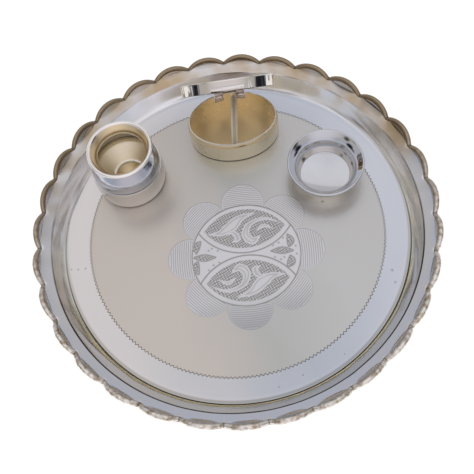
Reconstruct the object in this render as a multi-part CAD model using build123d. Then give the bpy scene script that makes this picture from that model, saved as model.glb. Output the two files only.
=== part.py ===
from build123d import *
import os
from math import asin, atan2, cos, degrees, pi, radians, sin, sqrt, tan

# Puja thali of sheet metal: a scalloped tray with a pot, a bowl and a two-part box with a hinged lid.
# Millimetres, +Z up. The origin is the centre of the tray's underside; the user sits on the -Y side.

# Cuts run past the faces that they open by this much
overrun = 2.0

# Tray
plate_sheet = 1.0
plate_height = 21.2
scallop_peak_radius = 139.4
scallop_depth = 2.5
scallop_lift = 5.4
scallop_count = 31
first_peak_share = 0.61
hem_radius = 1.6
flare_run = 8.9
wall_run = 7.0
crease_height = 12.5
foot_bend = 5.0
crease_level_sheet = 1.6
hem_level_sheet = 2.0

# Pot
kalash_bearing = 138.1
kalash_wall_gap = 6.0
kalash_sheet = 0.8
kalash_height = 41.7
kalash_seam_height = 19.6
kalash_nest_depth = 2.5
kalash_nest_clearance = 0.05
kalash_base_radius = 25.0
kalash_base_corner = 2.2
kalash_belly_bulge = 0.4
kalash_seam_radius = 25.2
kalash_neck_radius = 17.6
kalash_mouth_radius = 23.0
kalash_lip_radius = 1.2
kalash_neck_height_share = 0.825
kalash_shoulder_height_share = 0.66
kalash_shoulder_radius_share = 0.925

# Bowl
katori_bearing = 22.6
katori_wall_gap = 16.5
katori_sheet = 0.8
katori_height = 17.9
katori_mouth_radius = 26.9
katori_foot_radius = 18.7
katori_foot_corner = 1.4
katori_lip_radius = 0.8
katori_waist_height_share = 0.68
katori_waist_radius_share = 0.79

# Box
box_bearing = 79.6
box_turn = -4.5
box_wall_gap = 12.5
box_half_length = 33.0
box_half_width = 23.9
box_wall_sheet = 1.1
box_wall_height = 16.4
box_floor_sheet = 0.8
box_collar_sheet = 0.7
box_collar_rise = 4.2
box_collar_clearance = 0.05
divider_width = 4.4
divider_sheet = 0.7
divider_drop = 1.5
divider_shift = 1.2
divider_turn = -5.0

# Lid, drawn closed on the box and then turned to its resting angle
lid_open_angle = 54.0
lid_overhang = 0.3
lid_skirt_sheet = 0.5
lid_skirt_height = 6.8
lid_plate_sheet = 0.8
lid_edge_round = 0.35
thumb_lip_length = 22.5
thumb_lip_radius = 1.65
thumb_lip_sheet = 0.65

# Hinge
knuckle_radius = 1.6
knuckle_skirt_gap = 0.3
knuckle_end_gap = 0.2
hinge_length = 22.4
middle_knuckle_length = 9.6
hinge_drop = 1.0
pin_radius = 0.75
pin_clearance = 0.05
leaf_sheet = 0.7
leaf_gap = 0.6
box_leaf_height = 7.0
lid_leaf_height = 5.2
notch_clearance = 0.35
notch_floor_gap = 0.8

# Sizes that follow from those above
scallop_half_angle = pi / scallop_count
scallop_valley_radius = scallop_peak_radius - scallop_depth
crease_radius = scallop_valley_radius - flare_run
foot_radius = crease_radius - wall_run
hem_height = plate_height - hem_radius
hem_peak_radius = scallop_peak_radius - hem_radius
hem_valley_radius = scallop_valley_radius - hem_radius
scallop_half_chord = hem_valley_radius * sin(scallop_half_angle)
scallop_run = hem_peak_radius - hem_valley_radius * cos(scallop_half_angle)
scallop_tilt = atan2(scallop_lift, scallop_run)
scallop_rise = sqrt(scallop_run**2 + scallop_lift**2)
scallop_arc_radius = (scallop_half_chord**2 + scallop_rise**2) / (2 * scallop_rise)
scallop_arc_x = hem_peak_radius - scallop_arc_radius * cos(scallop_tilt)
scallop_arc_z = hem_height - scallop_arc_radius * sin(scallop_tilt)

kalash_belly_radius = kalash_seam_radius + kalash_belly_bulge
kalash_reach = foot_radius - kalash_wall_gap - kalash_belly_radius
katori_reach = foot_radius - katori_wall_gap - katori_mouth_radius

collar_half_length = box_half_length - box_wall_sheet - box_collar_clearance
collar_half_width = box_half_width - box_wall_sheet - box_collar_clearance
collar_top = box_wall_height + box_collar_rise
lid_half_length = box_half_length + lid_overhang
lid_half_width = box_half_width + lid_overhang
lid_plate_bottom = box_wall_height + lid_skirt_height
hinge_y = lid_half_width + knuckle_skirt_gap + knuckle_radius
hinge_z = box_wall_height - hinge_drop
outer_knuckle_start = middle_knuckle_length / 2 + knuckle_end_gap
outer_knuckle_length = hinge_length / 2 - outer_knuckle_start
box_leaf_top = hinge_z - knuckle_radius - leaf_gap
box_reach = foot_radius - box_wall_gap - hinge_y - knuckle_radius
thumb_lip_y = -(lid_half_width + thumb_lip_radius)
thumb_lip_z = box_wall_height + thumb_lip_radius


def standing(reach, bearing):
    """Place of a vessel on the tray's floor, from its distance and bearing."""
    angle = radians(bearing)
    return Pos(reach * cos(angle), reach * sin(angle), plate_sheet)


def turned(*edges):
    """Solid turned about Z from edges that close an outline in the XZ plane."""
    return revolve(Plane.XZ * make_face(list(edges)), Axis.Z)


def ring(radius, height, section_radius):
    """Round wire bent to a circle about Z."""
    return revolve(Plane.XZ * Pos(radius, height) * Circle(section_radius), Axis.Z)


def oval(half_length, half_width, bottom, top):
    """Upright oval block."""
    return Pos(0, 0, bottom) * extrude(Ellipse(half_length, half_width), top - bottom)


def oval_band(half_length, half_width, sheet, bottom, top):
    """Upright oval band whose outside has the given half sizes."""
    inside = oval(half_length - sheet, half_width - sheet, bottom - overrun, top + overrun)
    return oval(half_length, half_width, bottom, top) - inside


def block(x_low, x_high, y_low, y_high, z_low, z_high):
    """Box between two corners."""
    middle = Pos((x_low + x_high) / 2, (y_low + y_high) / 2, (z_low + z_high) / 2)
    return middle * Box(x_high - x_low, y_high - y_low, z_high - z_low)


def rod(x_low, x_high, y, z, radius):
    """Round bar along X."""
    return Pos((x_low + x_high) / 2, y, z) * Rot(0, 90, 0) * Cylinder(radius, x_high - x_low)


def plate_bowl():
    """Flat floor and sloping wall of the tray, up to the crease."""
    wall_angle = atan2(crease_height - plate_sheet, wall_run)
    outer_shift = plate_sheet * tan(wall_angle / 2)
    outline = make_face(Polyline(
        (0, 0),
        (foot_radius + outer_shift, 0),
        (crease_radius + crease_level_sheet, crease_height),
        (crease_radius, crease_height),
        (foot_radius, plate_sheet),
        (0, plate_sheet),
        close=True,
    ))
    corners = outline.vertices().sort_by(Axis.X)
    inner_foot = corners.filter_by(lambda v: abs(v.X - foot_radius) < outer_shift / 2)[0]
    outline = fillet(inner_foot, foot_bend)
    below = outline.vertices().filter_by(lambda v: v.Y < plate_sheet / 2)
    outer_foot = below.sort_by(Axis.X)[-1]
    outline = fillet(outer_foot, foot_bend + plate_sheet)
    return revolve(Plane.XZ * outline, Axis.Z)


def crease_arc(radius):
    """Ends and middle of a level arc about Z at the crease, across one scallop."""
    x = radius * cos(scallop_half_angle)
    y = radius * sin(scallop_half_angle)
    return (x, -y, crease_height), (radius, 0, crease_height), (x, y, crease_height)


def hem_arc(radius):
    """Ends and middle of an arc in the tilted plane of one scallop, across that scallop."""
    spread = tan(scallop_half_angle)
    lean = spread * cos(scallop_tilt)
    end = atan2(lean, 1) + asin(spread * scallop_arc_x / (radius * sqrt(1 + lean**2)))
    points = []
    for angle in (-end, 0, end):
        along = radius * cos(angle)
        x = scallop_arc_x + along * cos(scallop_tilt)
        z = scallop_arc_z + along * sin(scallop_tilt)
        points.append((x, radius * sin(angle), z))
    return points


def petal():
    """Sheet of one scallop between the crease and the hem, ruled between its four arcs."""
    half_sheet = hem_level_sheet / 2
    upper_low = ThreePointArc(*crease_arc(crease_radius))
    lower_low = ThreePointArc(*crease_arc(crease_radius + crease_level_sheet))
    upper_high = ThreePointArc(*hem_arc(scallop_arc_radius + half_sheet))
    lower_high = ThreePointArc(*hem_arc(scallop_arc_radius - half_sheet))
    loop = [upper_low, upper_high, lower_high, lower_low]
    faces = [Face.make_surface_from_curves(loop[index - 1], loop[index]) for index in range(len(loop))]
    for end in (0, 1):
        corners = [edge @ end for edge in loop]
        faces.append(make_face(Polyline(*corners, close=True)).face())
    return Part() + Solid(Shell(faces))


def scallop():
    """One scallop of the rim, pointing along +X: a flared petal, higher at its tip, and its length of the hem."""
    half_arc = asin(scallop_half_chord / (scallop_arc_radius - hem_radius))
    half_sweep = degrees(half_arc + scallop_half_angle)
    tilted = Axis((scallop_arc_x, 0, scallop_arc_z), (-sin(scallop_tilt), 0, cos(scallop_tilt)))
    section = Plane.XZ * Pos(hem_peak_radius, hem_height) * Circle(hem_radius)
    hem = revolve(section, tilted, 2 * half_sweep).rotate(tilted, -half_sweep)
    far = scallop_peak_radius + overrun
    side = far * tan(scallop_half_angle)
    triangle = make_face(Polyline((0, 0), (far, -side), (far, side), close=True))
    wedge = extrude(triangle, plate_height + overrun)
    return petal() + (hem & wedge)


def thali_plate():
    """The tray: floor, wall, scalloped flare and hem, pressed from one sheet."""
    one = scallop()
    step = 360 / scallop_count
    rim = [Rot(0, 0, (index + first_peak_share) * step) * one for index in range(scallop_count)]
    return plate_bowl() + rim


def kalash_lower_body():
    """Lower shell of the pot with its flat floor."""
    sheet = kalash_sheet
    flat = kalash_base_radius - kalash_base_corner
    belly_height = kalash_seam_height / 2
    outer_knee = kalash_base_corner * cos(pi / 4)
    inner_knee = (kalash_base_corner - sheet) * cos(pi / 4)
    shell = turned(
        Line((0, 0), (flat, 0)),
        ThreePointArc((flat, 0), (flat + outer_knee, kalash_base_corner - outer_knee),
                      (kalash_base_radius, kalash_base_corner)),
        ThreePointArc((kalash_base_radius, kalash_base_corner), (kalash_belly_radius, belly_height),
                      (kalash_seam_radius, kalash_seam_height)),
        Line((kalash_seam_radius, kalash_seam_height), (kalash_seam_radius - sheet, kalash_seam_height)),
        Line((kalash_seam_radius - sheet, kalash_seam_height),
             (kalash_seam_radius - sheet, kalash_seam_height - kalash_nest_depth)),
        ThreePointArc((kalash_seam_radius - sheet, kalash_seam_height - kalash_nest_depth),
                      (kalash_belly_radius - sheet, belly_height),
                      (kalash_base_radius - sheet, kalash_base_corner)),
        ThreePointArc((kalash_base_radius - sheet, kalash_base_corner),
                      (flat + inner_knee, kalash_base_corner - inner_knee), (flat, sheet)),
        Line((flat, sheet), (0, sheet)),
        Line((0, sheet), (0, 0)),
    )
    return standing(kalash_reach, kalash_bearing) * shell


def kalash_upper_body():
    """Shoulder, neck and flared mouth of the pot, nested in the lower shell."""
    sheet = kalash_sheet
    seam = kalash_seam_radius - sheet - kalash_nest_clearance
    foot = kalash_seam_height - kalash_nest_depth
    lip_r = kalash_mouth_radius - kalash_lip_radius
    lip_z = kalash_height - kalash_lip_radius
    neck_z = kalash_height * kalash_neck_height_share
    shoulder = (seam * kalash_shoulder_radius_share, kalash_height * kalash_shoulder_height_share)
    upward = (0, 1)
    outside = Spline((seam, kalash_seam_height), shoulder, (kalash_neck_radius, neck_z), (lip_r, lip_z),
                     tangents=(upward, (1, 1)))
    inside = Spline((seam - sheet, kalash_seam_height), (shoulder[0] - sheet, shoulder[1] - sheet / 2),
                    (kalash_neck_radius - sheet, neck_z), (lip_r - sheet / 2, lip_z + sheet / 2),
                    tangents=(upward, (1, 1)))
    shell = turned(
        Line((seam, foot), (seam, kalash_seam_height)),
        outside,
        Line((lip_r, lip_z), (lip_r - sheet / 2, lip_z + sheet / 2)),
        inside,
        Line((seam - sheet, kalash_seam_height), (seam - sheet, foot)),
        Line((seam - sheet, foot), (seam, foot)),
    )
    return standing(kalash_reach, kalash_bearing) * (shell + ring(lip_r, lip_z, kalash_lip_radius))


def katori_bowl():
    """Bowl with a flat floor, a flaring side and a rolled lip."""
    sheet = katori_sheet
    flat = katori_foot_radius - katori_foot_corner
    lip_r = katori_mouth_radius - katori_lip_radius
    lip_z = katori_height - katori_lip_radius
    waist = (katori_mouth_radius * katori_waist_radius_share, katori_height * katori_waist_height_share)
    outer_knee = katori_foot_corner * cos(pi / 4)
    inner_knee = (katori_foot_corner - sheet) * cos(pi / 4)
    upward = (0, 1)
    outside = Spline((katori_foot_radius, katori_foot_corner), waist, (lip_r, lip_z),
                     tangents=(upward, (1, 1)))
    inside = Spline((katori_foot_radius - sheet, katori_foot_corner), (waist[0] - sheet, waist[1]),
                    (lip_r - sheet / 2, lip_z + sheet / 2), tangents=(upward, (1, 1)))
    shell = turned(
        Line((0, 0), (flat, 0)),
        ThreePointArc((flat, 0), (flat + outer_knee, katori_foot_corner - outer_knee),
                      (katori_foot_radius, katori_foot_corner)),
        outside,
        Line((lip_r, lip_z), (lip_r - sheet / 2, lip_z + sheet / 2)),
        inside,
        ThreePointArc((katori_foot_radius - sheet, katori_foot_corner),
                      (flat + inner_knee, katori_foot_corner - inner_knee), (flat, sheet)),
        Line((flat, sheet), (0, sheet)),
        Line((0, sheet), (0, 0)),
    )
    return standing(katori_reach, katori_bearing) * (shell + ring(lip_r, lip_z, katori_lip_radius))


def hinge_notches():
    """Two gaps in the rear of the box where the outer knuckles lie."""
    floor = hinge_z - knuckle_radius - notch_floor_gap
    low = outer_knuckle_start - notch_clearance
    high = hinge_length / 2 + notch_clearance
    top = collar_top + overrun
    return [block(x_low, x_high, 0, hinge_y, floor, top) for x_low, x_high in ((low, high), (-high, -low))]


def box_floor():
    """Oval bottom plate, set inside the wall."""
    return oval(collar_half_length, collar_half_width, 0, box_floor_sheet)


def box_wall():
    """Oval outer wall."""
    return oval_band(box_half_length, box_half_width, box_wall_sheet, 0, box_wall_height) - hinge_notches()


def box_collar():
    """Inner oval band, proud of the wall, that the lid's skirt goes over."""
    band = oval_band(collar_half_length, collar_half_width, box_collar_sheet, box_floor_sheet, collar_top)
    return band - hinge_notches()


def box_divider():
    """Strip folded over at the top, across the box between its two compartments."""
    top = collar_top - divider_drop
    half = divider_width / 2
    strip = block(-half, half, -box_half_length, box_half_length, box_floor_sheet, top)
    hollow = block(-half + divider_sheet, half - divider_sheet, -box_half_length, box_half_length,
                   box_floor_sheet - overrun, top - divider_sheet)
    room = oval(collar_half_length - box_collar_sheet, collar_half_width - box_collar_sheet, 0, collar_top)
    return (Pos(divider_shift, 0, 0) * Rot(0, 0, divider_turn) * (strip - hollow)) & room


def box_hinge_leaf():
    """Leaf on the rear wall with the two outer knuckles."""
    half = hinge_length / 2
    band = oval_band(box_half_length + leaf_sheet, box_half_width + leaf_sheet, leaf_sheet,
                     box_leaf_top - box_leaf_height, box_leaf_top)
    leaf = band & block(-half, half, 0, hinge_y, box_leaf_top - box_leaf_height, box_leaf_top)
    for low in (outer_knuckle_start, -half):
        high = low + outer_knuckle_length
        web = block(low, high, 0, hinge_y, box_leaf_top - leaf_sheet, hinge_z)
        leaf = leaf + (web - oval(box_half_length, box_half_width, 0, collar_top))
        leaf = leaf + rod(low, high, hinge_y, hinge_z, knuckle_radius)
    return leaf - rod(-half - overrun, half + overrun, hinge_y, hinge_z, pin_radius)


def hinge_pin():
    """Pin held in the two outer knuckles."""
    return rod(-hinge_length / 2, hinge_length / 2, hinge_y, hinge_z, pin_radius)


def lid_hinge_leaf():
    """Leaf on the lid's skirt with the middle knuckle."""
    half = middle_knuckle_length / 2
    top = box_wall_height + lid_leaf_height
    band = oval_band(lid_half_length + leaf_sheet, lid_half_width + leaf_sheet, leaf_sheet, hinge_z, top)
    leaf = band & block(-half, half, 0, hinge_y, hinge_z, top)
    leaf = leaf + rod(-half, half, hinge_y, hinge_z, knuckle_radius)
    return leaf - rod(-half - overrun, half + overrun, hinge_y, hinge_z, pin_radius + pin_clearance)


def lid_skirt():
    """Oval band round the lid's edge."""
    return oval_band(lid_half_length, lid_half_width, lid_skirt_sheet, box_wall_height, lid_plate_bottom)


def lid_plate():
    """Oval top of the lid with a softened edge."""
    plate = oval(lid_half_length, lid_half_width, lid_plate_bottom, lid_plate_bottom + lid_plate_sheet)
    return fillet(plate.edges().group_by(Axis.Z)[-1], lid_edge_round)


def lid_thumb_lip():
    """Strip on the front of the skirt, rolled to a tube for the thumb."""
    half = thumb_lip_length / 2
    tube = rod(-half, half, thumb_lip_y, thumb_lip_z, thumb_lip_radius)
    top = thumb_lip_z + thumb_lip_radius
    tab = block(-half, half, thumb_lip_y, 0, top - thumb_lip_sheet, top)
    lip = tube + (tab - oval(lid_half_length, lid_half_width, 0, lid_plate_bottom))
    bore_radius = thumb_lip_radius - thumb_lip_sheet
    return lip - rod(-half - overrun, half + overrun, thumb_lip_y, thumb_lip_z, bore_radius)


def on_tray(piece):
    """Stand a piece of the box in its place on the tray."""
    return standing(box_reach, box_bearing) * Rot(0, 0, box_turn) * piece


def opened(piece):
    """Turn a piece of the closed lid to its resting angle, then stand it on the tray."""
    return on_tray(piece.rotate(Axis((0, hinge_y, hinge_z), (1, 0, 0)), -lid_open_angle))


def main():
    """Build every piece and write each to its own file."""
    pieces = {
        "thali_plate": thali_plate(),
        "kalash_lower_body": kalash_lower_body(),
        "kalash_upper_body": kalash_upper_body(),
        "katori_bowl": katori_bowl(),
        "box_floor": on_tray(box_floor()),
        "box_wall": on_tray(box_wall()),
        "box_collar": on_tray(box_collar()),
        "box_divider": on_tray(box_divider()),
        "box_hinge_leaf": on_tray(box_hinge_leaf()),
        "hinge_pin": on_tray(hinge_pin()),
        "lid_hinge_leaf": opened(lid_hinge_leaf()),
        "lid_skirt": opened(lid_skirt()),
        "lid_plate": opened(lid_plate()),
        "lid_thumb_lip": opened(lid_thumb_lip()),
    }
    os.makedirs("parts", exist_ok=True)
    for node, piece in pieces.items():
        export_step(piece, os.path.join("parts", f"{node}.step"))


main()
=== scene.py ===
"""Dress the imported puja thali: a scalloped tray with a pot, a bowl and a two-part box with a hinged lid."""

import logging
import math
from dataclasses import dataclass, replace
from enum import Enum
from functools import partial
from typing import Any, Callable, Sequence

import bpy
import numpy as np
from mathutils import Matrix, Vector

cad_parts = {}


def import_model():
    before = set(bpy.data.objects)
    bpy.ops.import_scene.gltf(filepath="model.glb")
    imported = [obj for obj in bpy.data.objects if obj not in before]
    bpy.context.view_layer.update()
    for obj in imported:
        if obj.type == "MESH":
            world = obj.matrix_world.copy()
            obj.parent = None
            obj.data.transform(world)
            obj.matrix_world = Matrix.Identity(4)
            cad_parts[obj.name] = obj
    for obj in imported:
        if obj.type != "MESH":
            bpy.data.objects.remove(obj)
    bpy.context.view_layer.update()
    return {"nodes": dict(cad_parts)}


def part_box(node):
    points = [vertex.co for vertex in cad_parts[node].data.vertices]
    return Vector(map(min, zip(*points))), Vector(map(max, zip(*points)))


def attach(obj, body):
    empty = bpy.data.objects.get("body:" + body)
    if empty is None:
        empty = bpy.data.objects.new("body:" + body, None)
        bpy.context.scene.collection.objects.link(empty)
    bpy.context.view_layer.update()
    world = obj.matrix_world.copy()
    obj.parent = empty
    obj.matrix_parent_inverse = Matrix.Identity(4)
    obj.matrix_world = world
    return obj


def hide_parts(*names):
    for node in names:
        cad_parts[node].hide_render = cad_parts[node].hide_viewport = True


LOG = logging.getLogger("puja_thali")
MM = 0.001
UPRIGHT = (0.0, 0.0, 1.0)
LEVEL = (1.0, 1.0, 0.0)
DOWN_DEG = -90.0
FAR_OUTSIDE = -1e3
Point = tuple[float, float]
Spot = tuple[float, float, float]
Stops = Sequence[tuple[float, str]]
Tree = bpy.types.NodeTree
Piece = bpy.types.Object


class Slot(Enum):
    """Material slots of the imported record."""

    POLISHED = "polished_nickel_silver"
    SATIN = "satin_nickel_silver"
    STEEL = "steel_wire"


class Body(Enum):
    """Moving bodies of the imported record."""

    TRAY = "tray"
    KALASH = "kalash"
    KATORI = "katori"
    BOX = "kumkum_box"
    LID = "lid"


class Blend(Enum):
    """What the layers of a finish hold."""

    COLOUR = "RGBA"
    NUMBER = "FLOAT"


class Zone(Enum):
    """Parts of the tray's sheet that differ in finish."""

    OUTER_FLOOR = "floor outside the wriggle line"
    WALL = "wall"
    UPPER_WALL = "upper part of the wall"
    FLARE = "flare"
    HEM = "hem"
    NEAR_HALF = "half that is nearer to the camera"


def linear(colour: str) -> tuple[float, float, float, float]:
    """Turn an sRGB hex colour to linear light.

    Args:
        colour: six hex digits after a hash sign.

    Returns:
        Linear red, green, blue and an alpha of one.
    """
    parts = [int(colour[start:start + 2], 16) / 255 for start in (1, 3, 5)]
    light = [part / 12.92 if part <= 0.04045 else ((part + 0.055) / 1.055) ** 2.4 for part in parts]
    return (light[0], light[1], light[2], 1.0)


def add_node(
        tree: Tree, kind: str, inputs: dict[Any, Any] | None = None, stops: Stops = (),
        **settings: Any) -> Any:
    """Add a node with its settings, constants and links.

    Args:
        tree: node tree that takes the node.
        kind: Blender's name of the node type.
        inputs: input name or number to a constant, or to an output socket that is linked.
        stops: positions and hex colours, for a node that has a colour ramp.
        settings: attributes of the node.

    Returns:
        The new node.
    """
    node = tree.nodes.new(kind)
    for name, value in settings.items():
        setattr(node, name, value)
    for name, value in (inputs or {}).items():
        if isinstance(value, bpy.types.NodeSocket):
            tree.links.new(value, node.inputs[name])
        else:
            node.inputs[name].default_value = value
    elements = node.color_ramp.elements if stops else ()
    while len(elements) < len(stops):
        elements.new(1.0)
    for element, (position, colour) in zip(elements, stops):
        element.position = position
        element.color = linear(colour)
    return node


def layered(
        tree: Tree, base: Any, layers: Sequence[tuple[Any, Any]], blend: Blend = Blend.COLOUR) -> Any:
    """Lay colours or numbers over a base, one after another.

    Args:
        tree: node tree that takes the nodes.
        base: socket or constant under the layers.
        layers: for each layer, the socket that says where it covers, and its own socket or constant.
        blend: whether the layers are colours or numbers.

    Returns:
        The socket of the result.
    """
    for cover, value in layers:
        mixed = add_node(
            tree, "ShaderNodeMix", {"Factor": cover, "A": base, "B": value}, data_type=blend.value)
        base = mixed.outputs["Result"]
    return base


def new_material(name: str) -> tuple[bpy.types.Material, Tree, Any]:
    """Make an empty node material with its output.

    Args:
        name: name of the real material and its finish.

    Returns:
        The material, its node tree and its surface input.
    """
    material = bpy.data.materials.new(name)
    material.use_nodes = True
    tree = material.node_tree
    tree.nodes.clear()
    output = add_node(tree, "ShaderNodeOutputMaterial")
    return material, tree, output.inputs["Surface"]


@dataclass(frozen=True)
class Band:
    """A strip of a piece that lies between two planes and has its own colour, such as a painted shadow along
    a seam.
    """

    direction: Spot
    low_mm: float
    high_mm: float
    colour: str


@dataclass(frozen=True)
class NickelSilver:
    """Nickel silver, rolled or spun sheet: a warm grey mirror that yellows where light bounces twice.

    The eye sees soft clouds of thin tarnish, hairline rubbing marks and a slightly uneven gloss. Real
    hairlines are finer than a pixel, so they are drawn as coarse as they need to show.
    """

    name: str
    bright: str
    tarnished: str
    roughness: float
    roughness_spread: float = 0.05
    least_roughness: float = 0.02
    noise_grain: float = 0.55
    noise_range: Point = (0.25, 0.75)
    cloud_mm: float = 28.0
    cloud_share: float = 0.5
    rub_mm: float = 1.4
    rub_height_mm: float = 0.004
    rub_turn: float = 0.6
    rub_stretch: float = 0.25
    rub_detail: float = 2.0
    ripple_mm: float = 22.0
    ripple_height_mm: float = 0.0
    ripple_detail: float = 1.0
    bands: tuple[Band, ...] = ()

    def clouds(self, tree: Tree, place: Any, size_mm: float, detail: float = 3.0) -> Any:
        """Noise of a given real size on the piece.

        Args:
            tree: node tree that takes the noise.
            place: coordinate socket, in metres.
            size_mm: width of one cloud.
            detail: finer layers of the noise.

        Returns:
            The noise level's socket.
        """
        noise = add_node(tree, "ShaderNodeTexNoise", {
            "Vector": place, "Scale": 1 / (size_mm * MM), "Detail": detail, "Roughness": self.noise_grain})
        return noise.outputs["Fac"]

    def reach(self, tree: Tree, place: Any, axis_mm: Point = (0.0, 0.0)) -> tuple[Any, Any]:
        """Way out from an upright axis and its length.

        Args:
            tree: node tree that takes the nodes.
            place: coordinate socket, in metres.
            axis_mm: where the axis stands.

        Returns:
            The sockets of the way and of its length, in metres.
        """
        gap = add_node(tree, "ShaderNodeVectorMath", {
            0: place, 1: (axis_mm[0] * MM, axis_mm[1] * MM, 0.0)}, operation="SUBTRACT")
        out = add_node(tree, "ShaderNodeVectorMath", {
            0: gap.outputs["Vector"], 1: LEVEL}, operation="MULTIPLY")
        length = add_node(tree, "ShaderNodeVectorMath", {0: out.outputs["Vector"]}, operation="LENGTH")
        return out.outputs["Vector"], length.outputs["Value"]

    def banded(self, tree: Tree, place: Any, colour: Any, bands: Sequence[Band]) -> Any:
        """Lay strips of their own colour over a colour.

        Args:
            tree: node tree that takes the nodes.
            place: coordinate socket, in metres.
            colour: colour socket under the strips.
            bands: the strips.

        Returns:
            The colour socket with the strips.
        """
        layers = []
        for band in bands:
            along = add_node(
                tree, "ShaderNodeVectorMath", {0: place, 1: band.direction}, operation="DOT_PRODUCT")
            cover = add_node(tree, "ShaderNodeMath", {
                0: along.outputs["Value"], 1: (band.low_mm + band.high_mm) / 2 * MM,
                2: (band.high_mm - band.low_mm) / 2 * MM}, operation="COMPARE")
            layers.append((cover.outputs["Value"], linear(band.colour)))
        return layered(tree, colour, layers)

    def base_colour(self, tree: Tree, place: Any) -> Any:
        """Colour of the metal with its clouds of tarnish.

        Args:
            tree: node tree that takes the nodes.
            place: coordinate socket, in metres.

        Returns:
            The colour socket.
        """
        low = 0.5 - self.cloud_share / 2
        metal = add_node(
            tree, "ShaderNodeValToRGB", {"Fac": self.clouds(tree, place, self.cloud_mm)},
            stops=((low, self.tarnished), (low + self.cloud_share, self.bright)))
        return self.banded(tree, place, metal.outputs["Color"], self.bands)

    def gloss(self, tree: Tree, place: Any) -> Any:
        """Roughness of the metal, uneven on the scale of a polishing cloth.

        Args:
            tree: node tree that takes the nodes.
            place: coordinate socket, in metres.

        Returns:
            The roughness socket.
        """
        spread = add_node(tree, "ShaderNodeMapRange", {
            "Value": self.clouds(tree, place, self.cloud_mm / 2),
            "From Min": self.noise_range[0], "From Max": self.noise_range[1],
            "To Min": max(self.roughness - self.roughness_spread, self.least_roughness),
            "To Max": self.roughness + self.roughness_spread})
        return spread.outputs["Result"]

    def relief(self, tree: Tree, place: Any) -> Any:
        """Normal with rubbing marks and the slow ripple of hand-worked sheet.

        Args:
            tree: node tree that takes the nodes.
            place: coordinate socket, in metres.

        Returns:
            The normal socket.
        """
        stretched = add_node(tree, "ShaderNodeMapping", {
            "Vector": place, "Rotation": (0.0, 0.0, self.rub_turn), "Scale": (self.rub_stretch, 1.0, 1.0)})
        rubs = self.clouds(tree, stretched.outputs["Vector"], self.rub_mm, self.rub_detail)
        bump = add_node(tree, "ShaderNodeBump", {"Height": rubs, "Distance": self.rub_height_mm * MM})
        if not self.ripple_height_mm:
            return bump.outputs["Normal"]
        slow = add_node(tree, "ShaderNodeBump", {
            "Height": self.clouds(tree, place, self.ripple_mm, self.ripple_detail),
            "Distance": self.ripple_height_mm * MM, "Normal": bump.outputs["Normal"]})
        return slow.outputs["Normal"]

    def build(self) -> bpy.types.Material:
        """Make the material.

        Returns:
            The material.
        """
        material, tree, surface = new_material(self.name)
        place = add_node(tree, "ShaderNodeTexCoord").outputs["Object"]
        shader = add_node(tree, "ShaderNodeBsdfPrincipled", {
            "Base Color": self.base_colour(tree, place), "Metallic": 1.0,
            "Roughness": self.gloss(tree, place), "Normal": self.relief(tree, place)})
        tree.links.new(shader.outputs["BSDF"], surface)
        return material


@dataclass(frozen=True)
class Stain:
    """A small dark spot on the tray's floor."""

    x_mm: float
    y_mm: float
    radius_mm: float
    strength: float


STAINS = (
    Stain(64.8, 8.6, 1.5, 0.75), Stain(-118.2, -3.3, 1.0, 0.8), Stain(-113.5, -4.3, 0.9, 0.7),
    Stain(-108.4, -4.6, 1.0, 0.6), Stain(97.6, -52.3, 1.6, 0.5), Stain(97.3, -61.0, 1.4, 0.45),
    Stain(23.3, -108.9, 1.0, 0.5), Stain(6.7, -113.2, 0.9, 0.5), Stain(52.3, -101.2, 0.8, 0.4),
)


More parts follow.
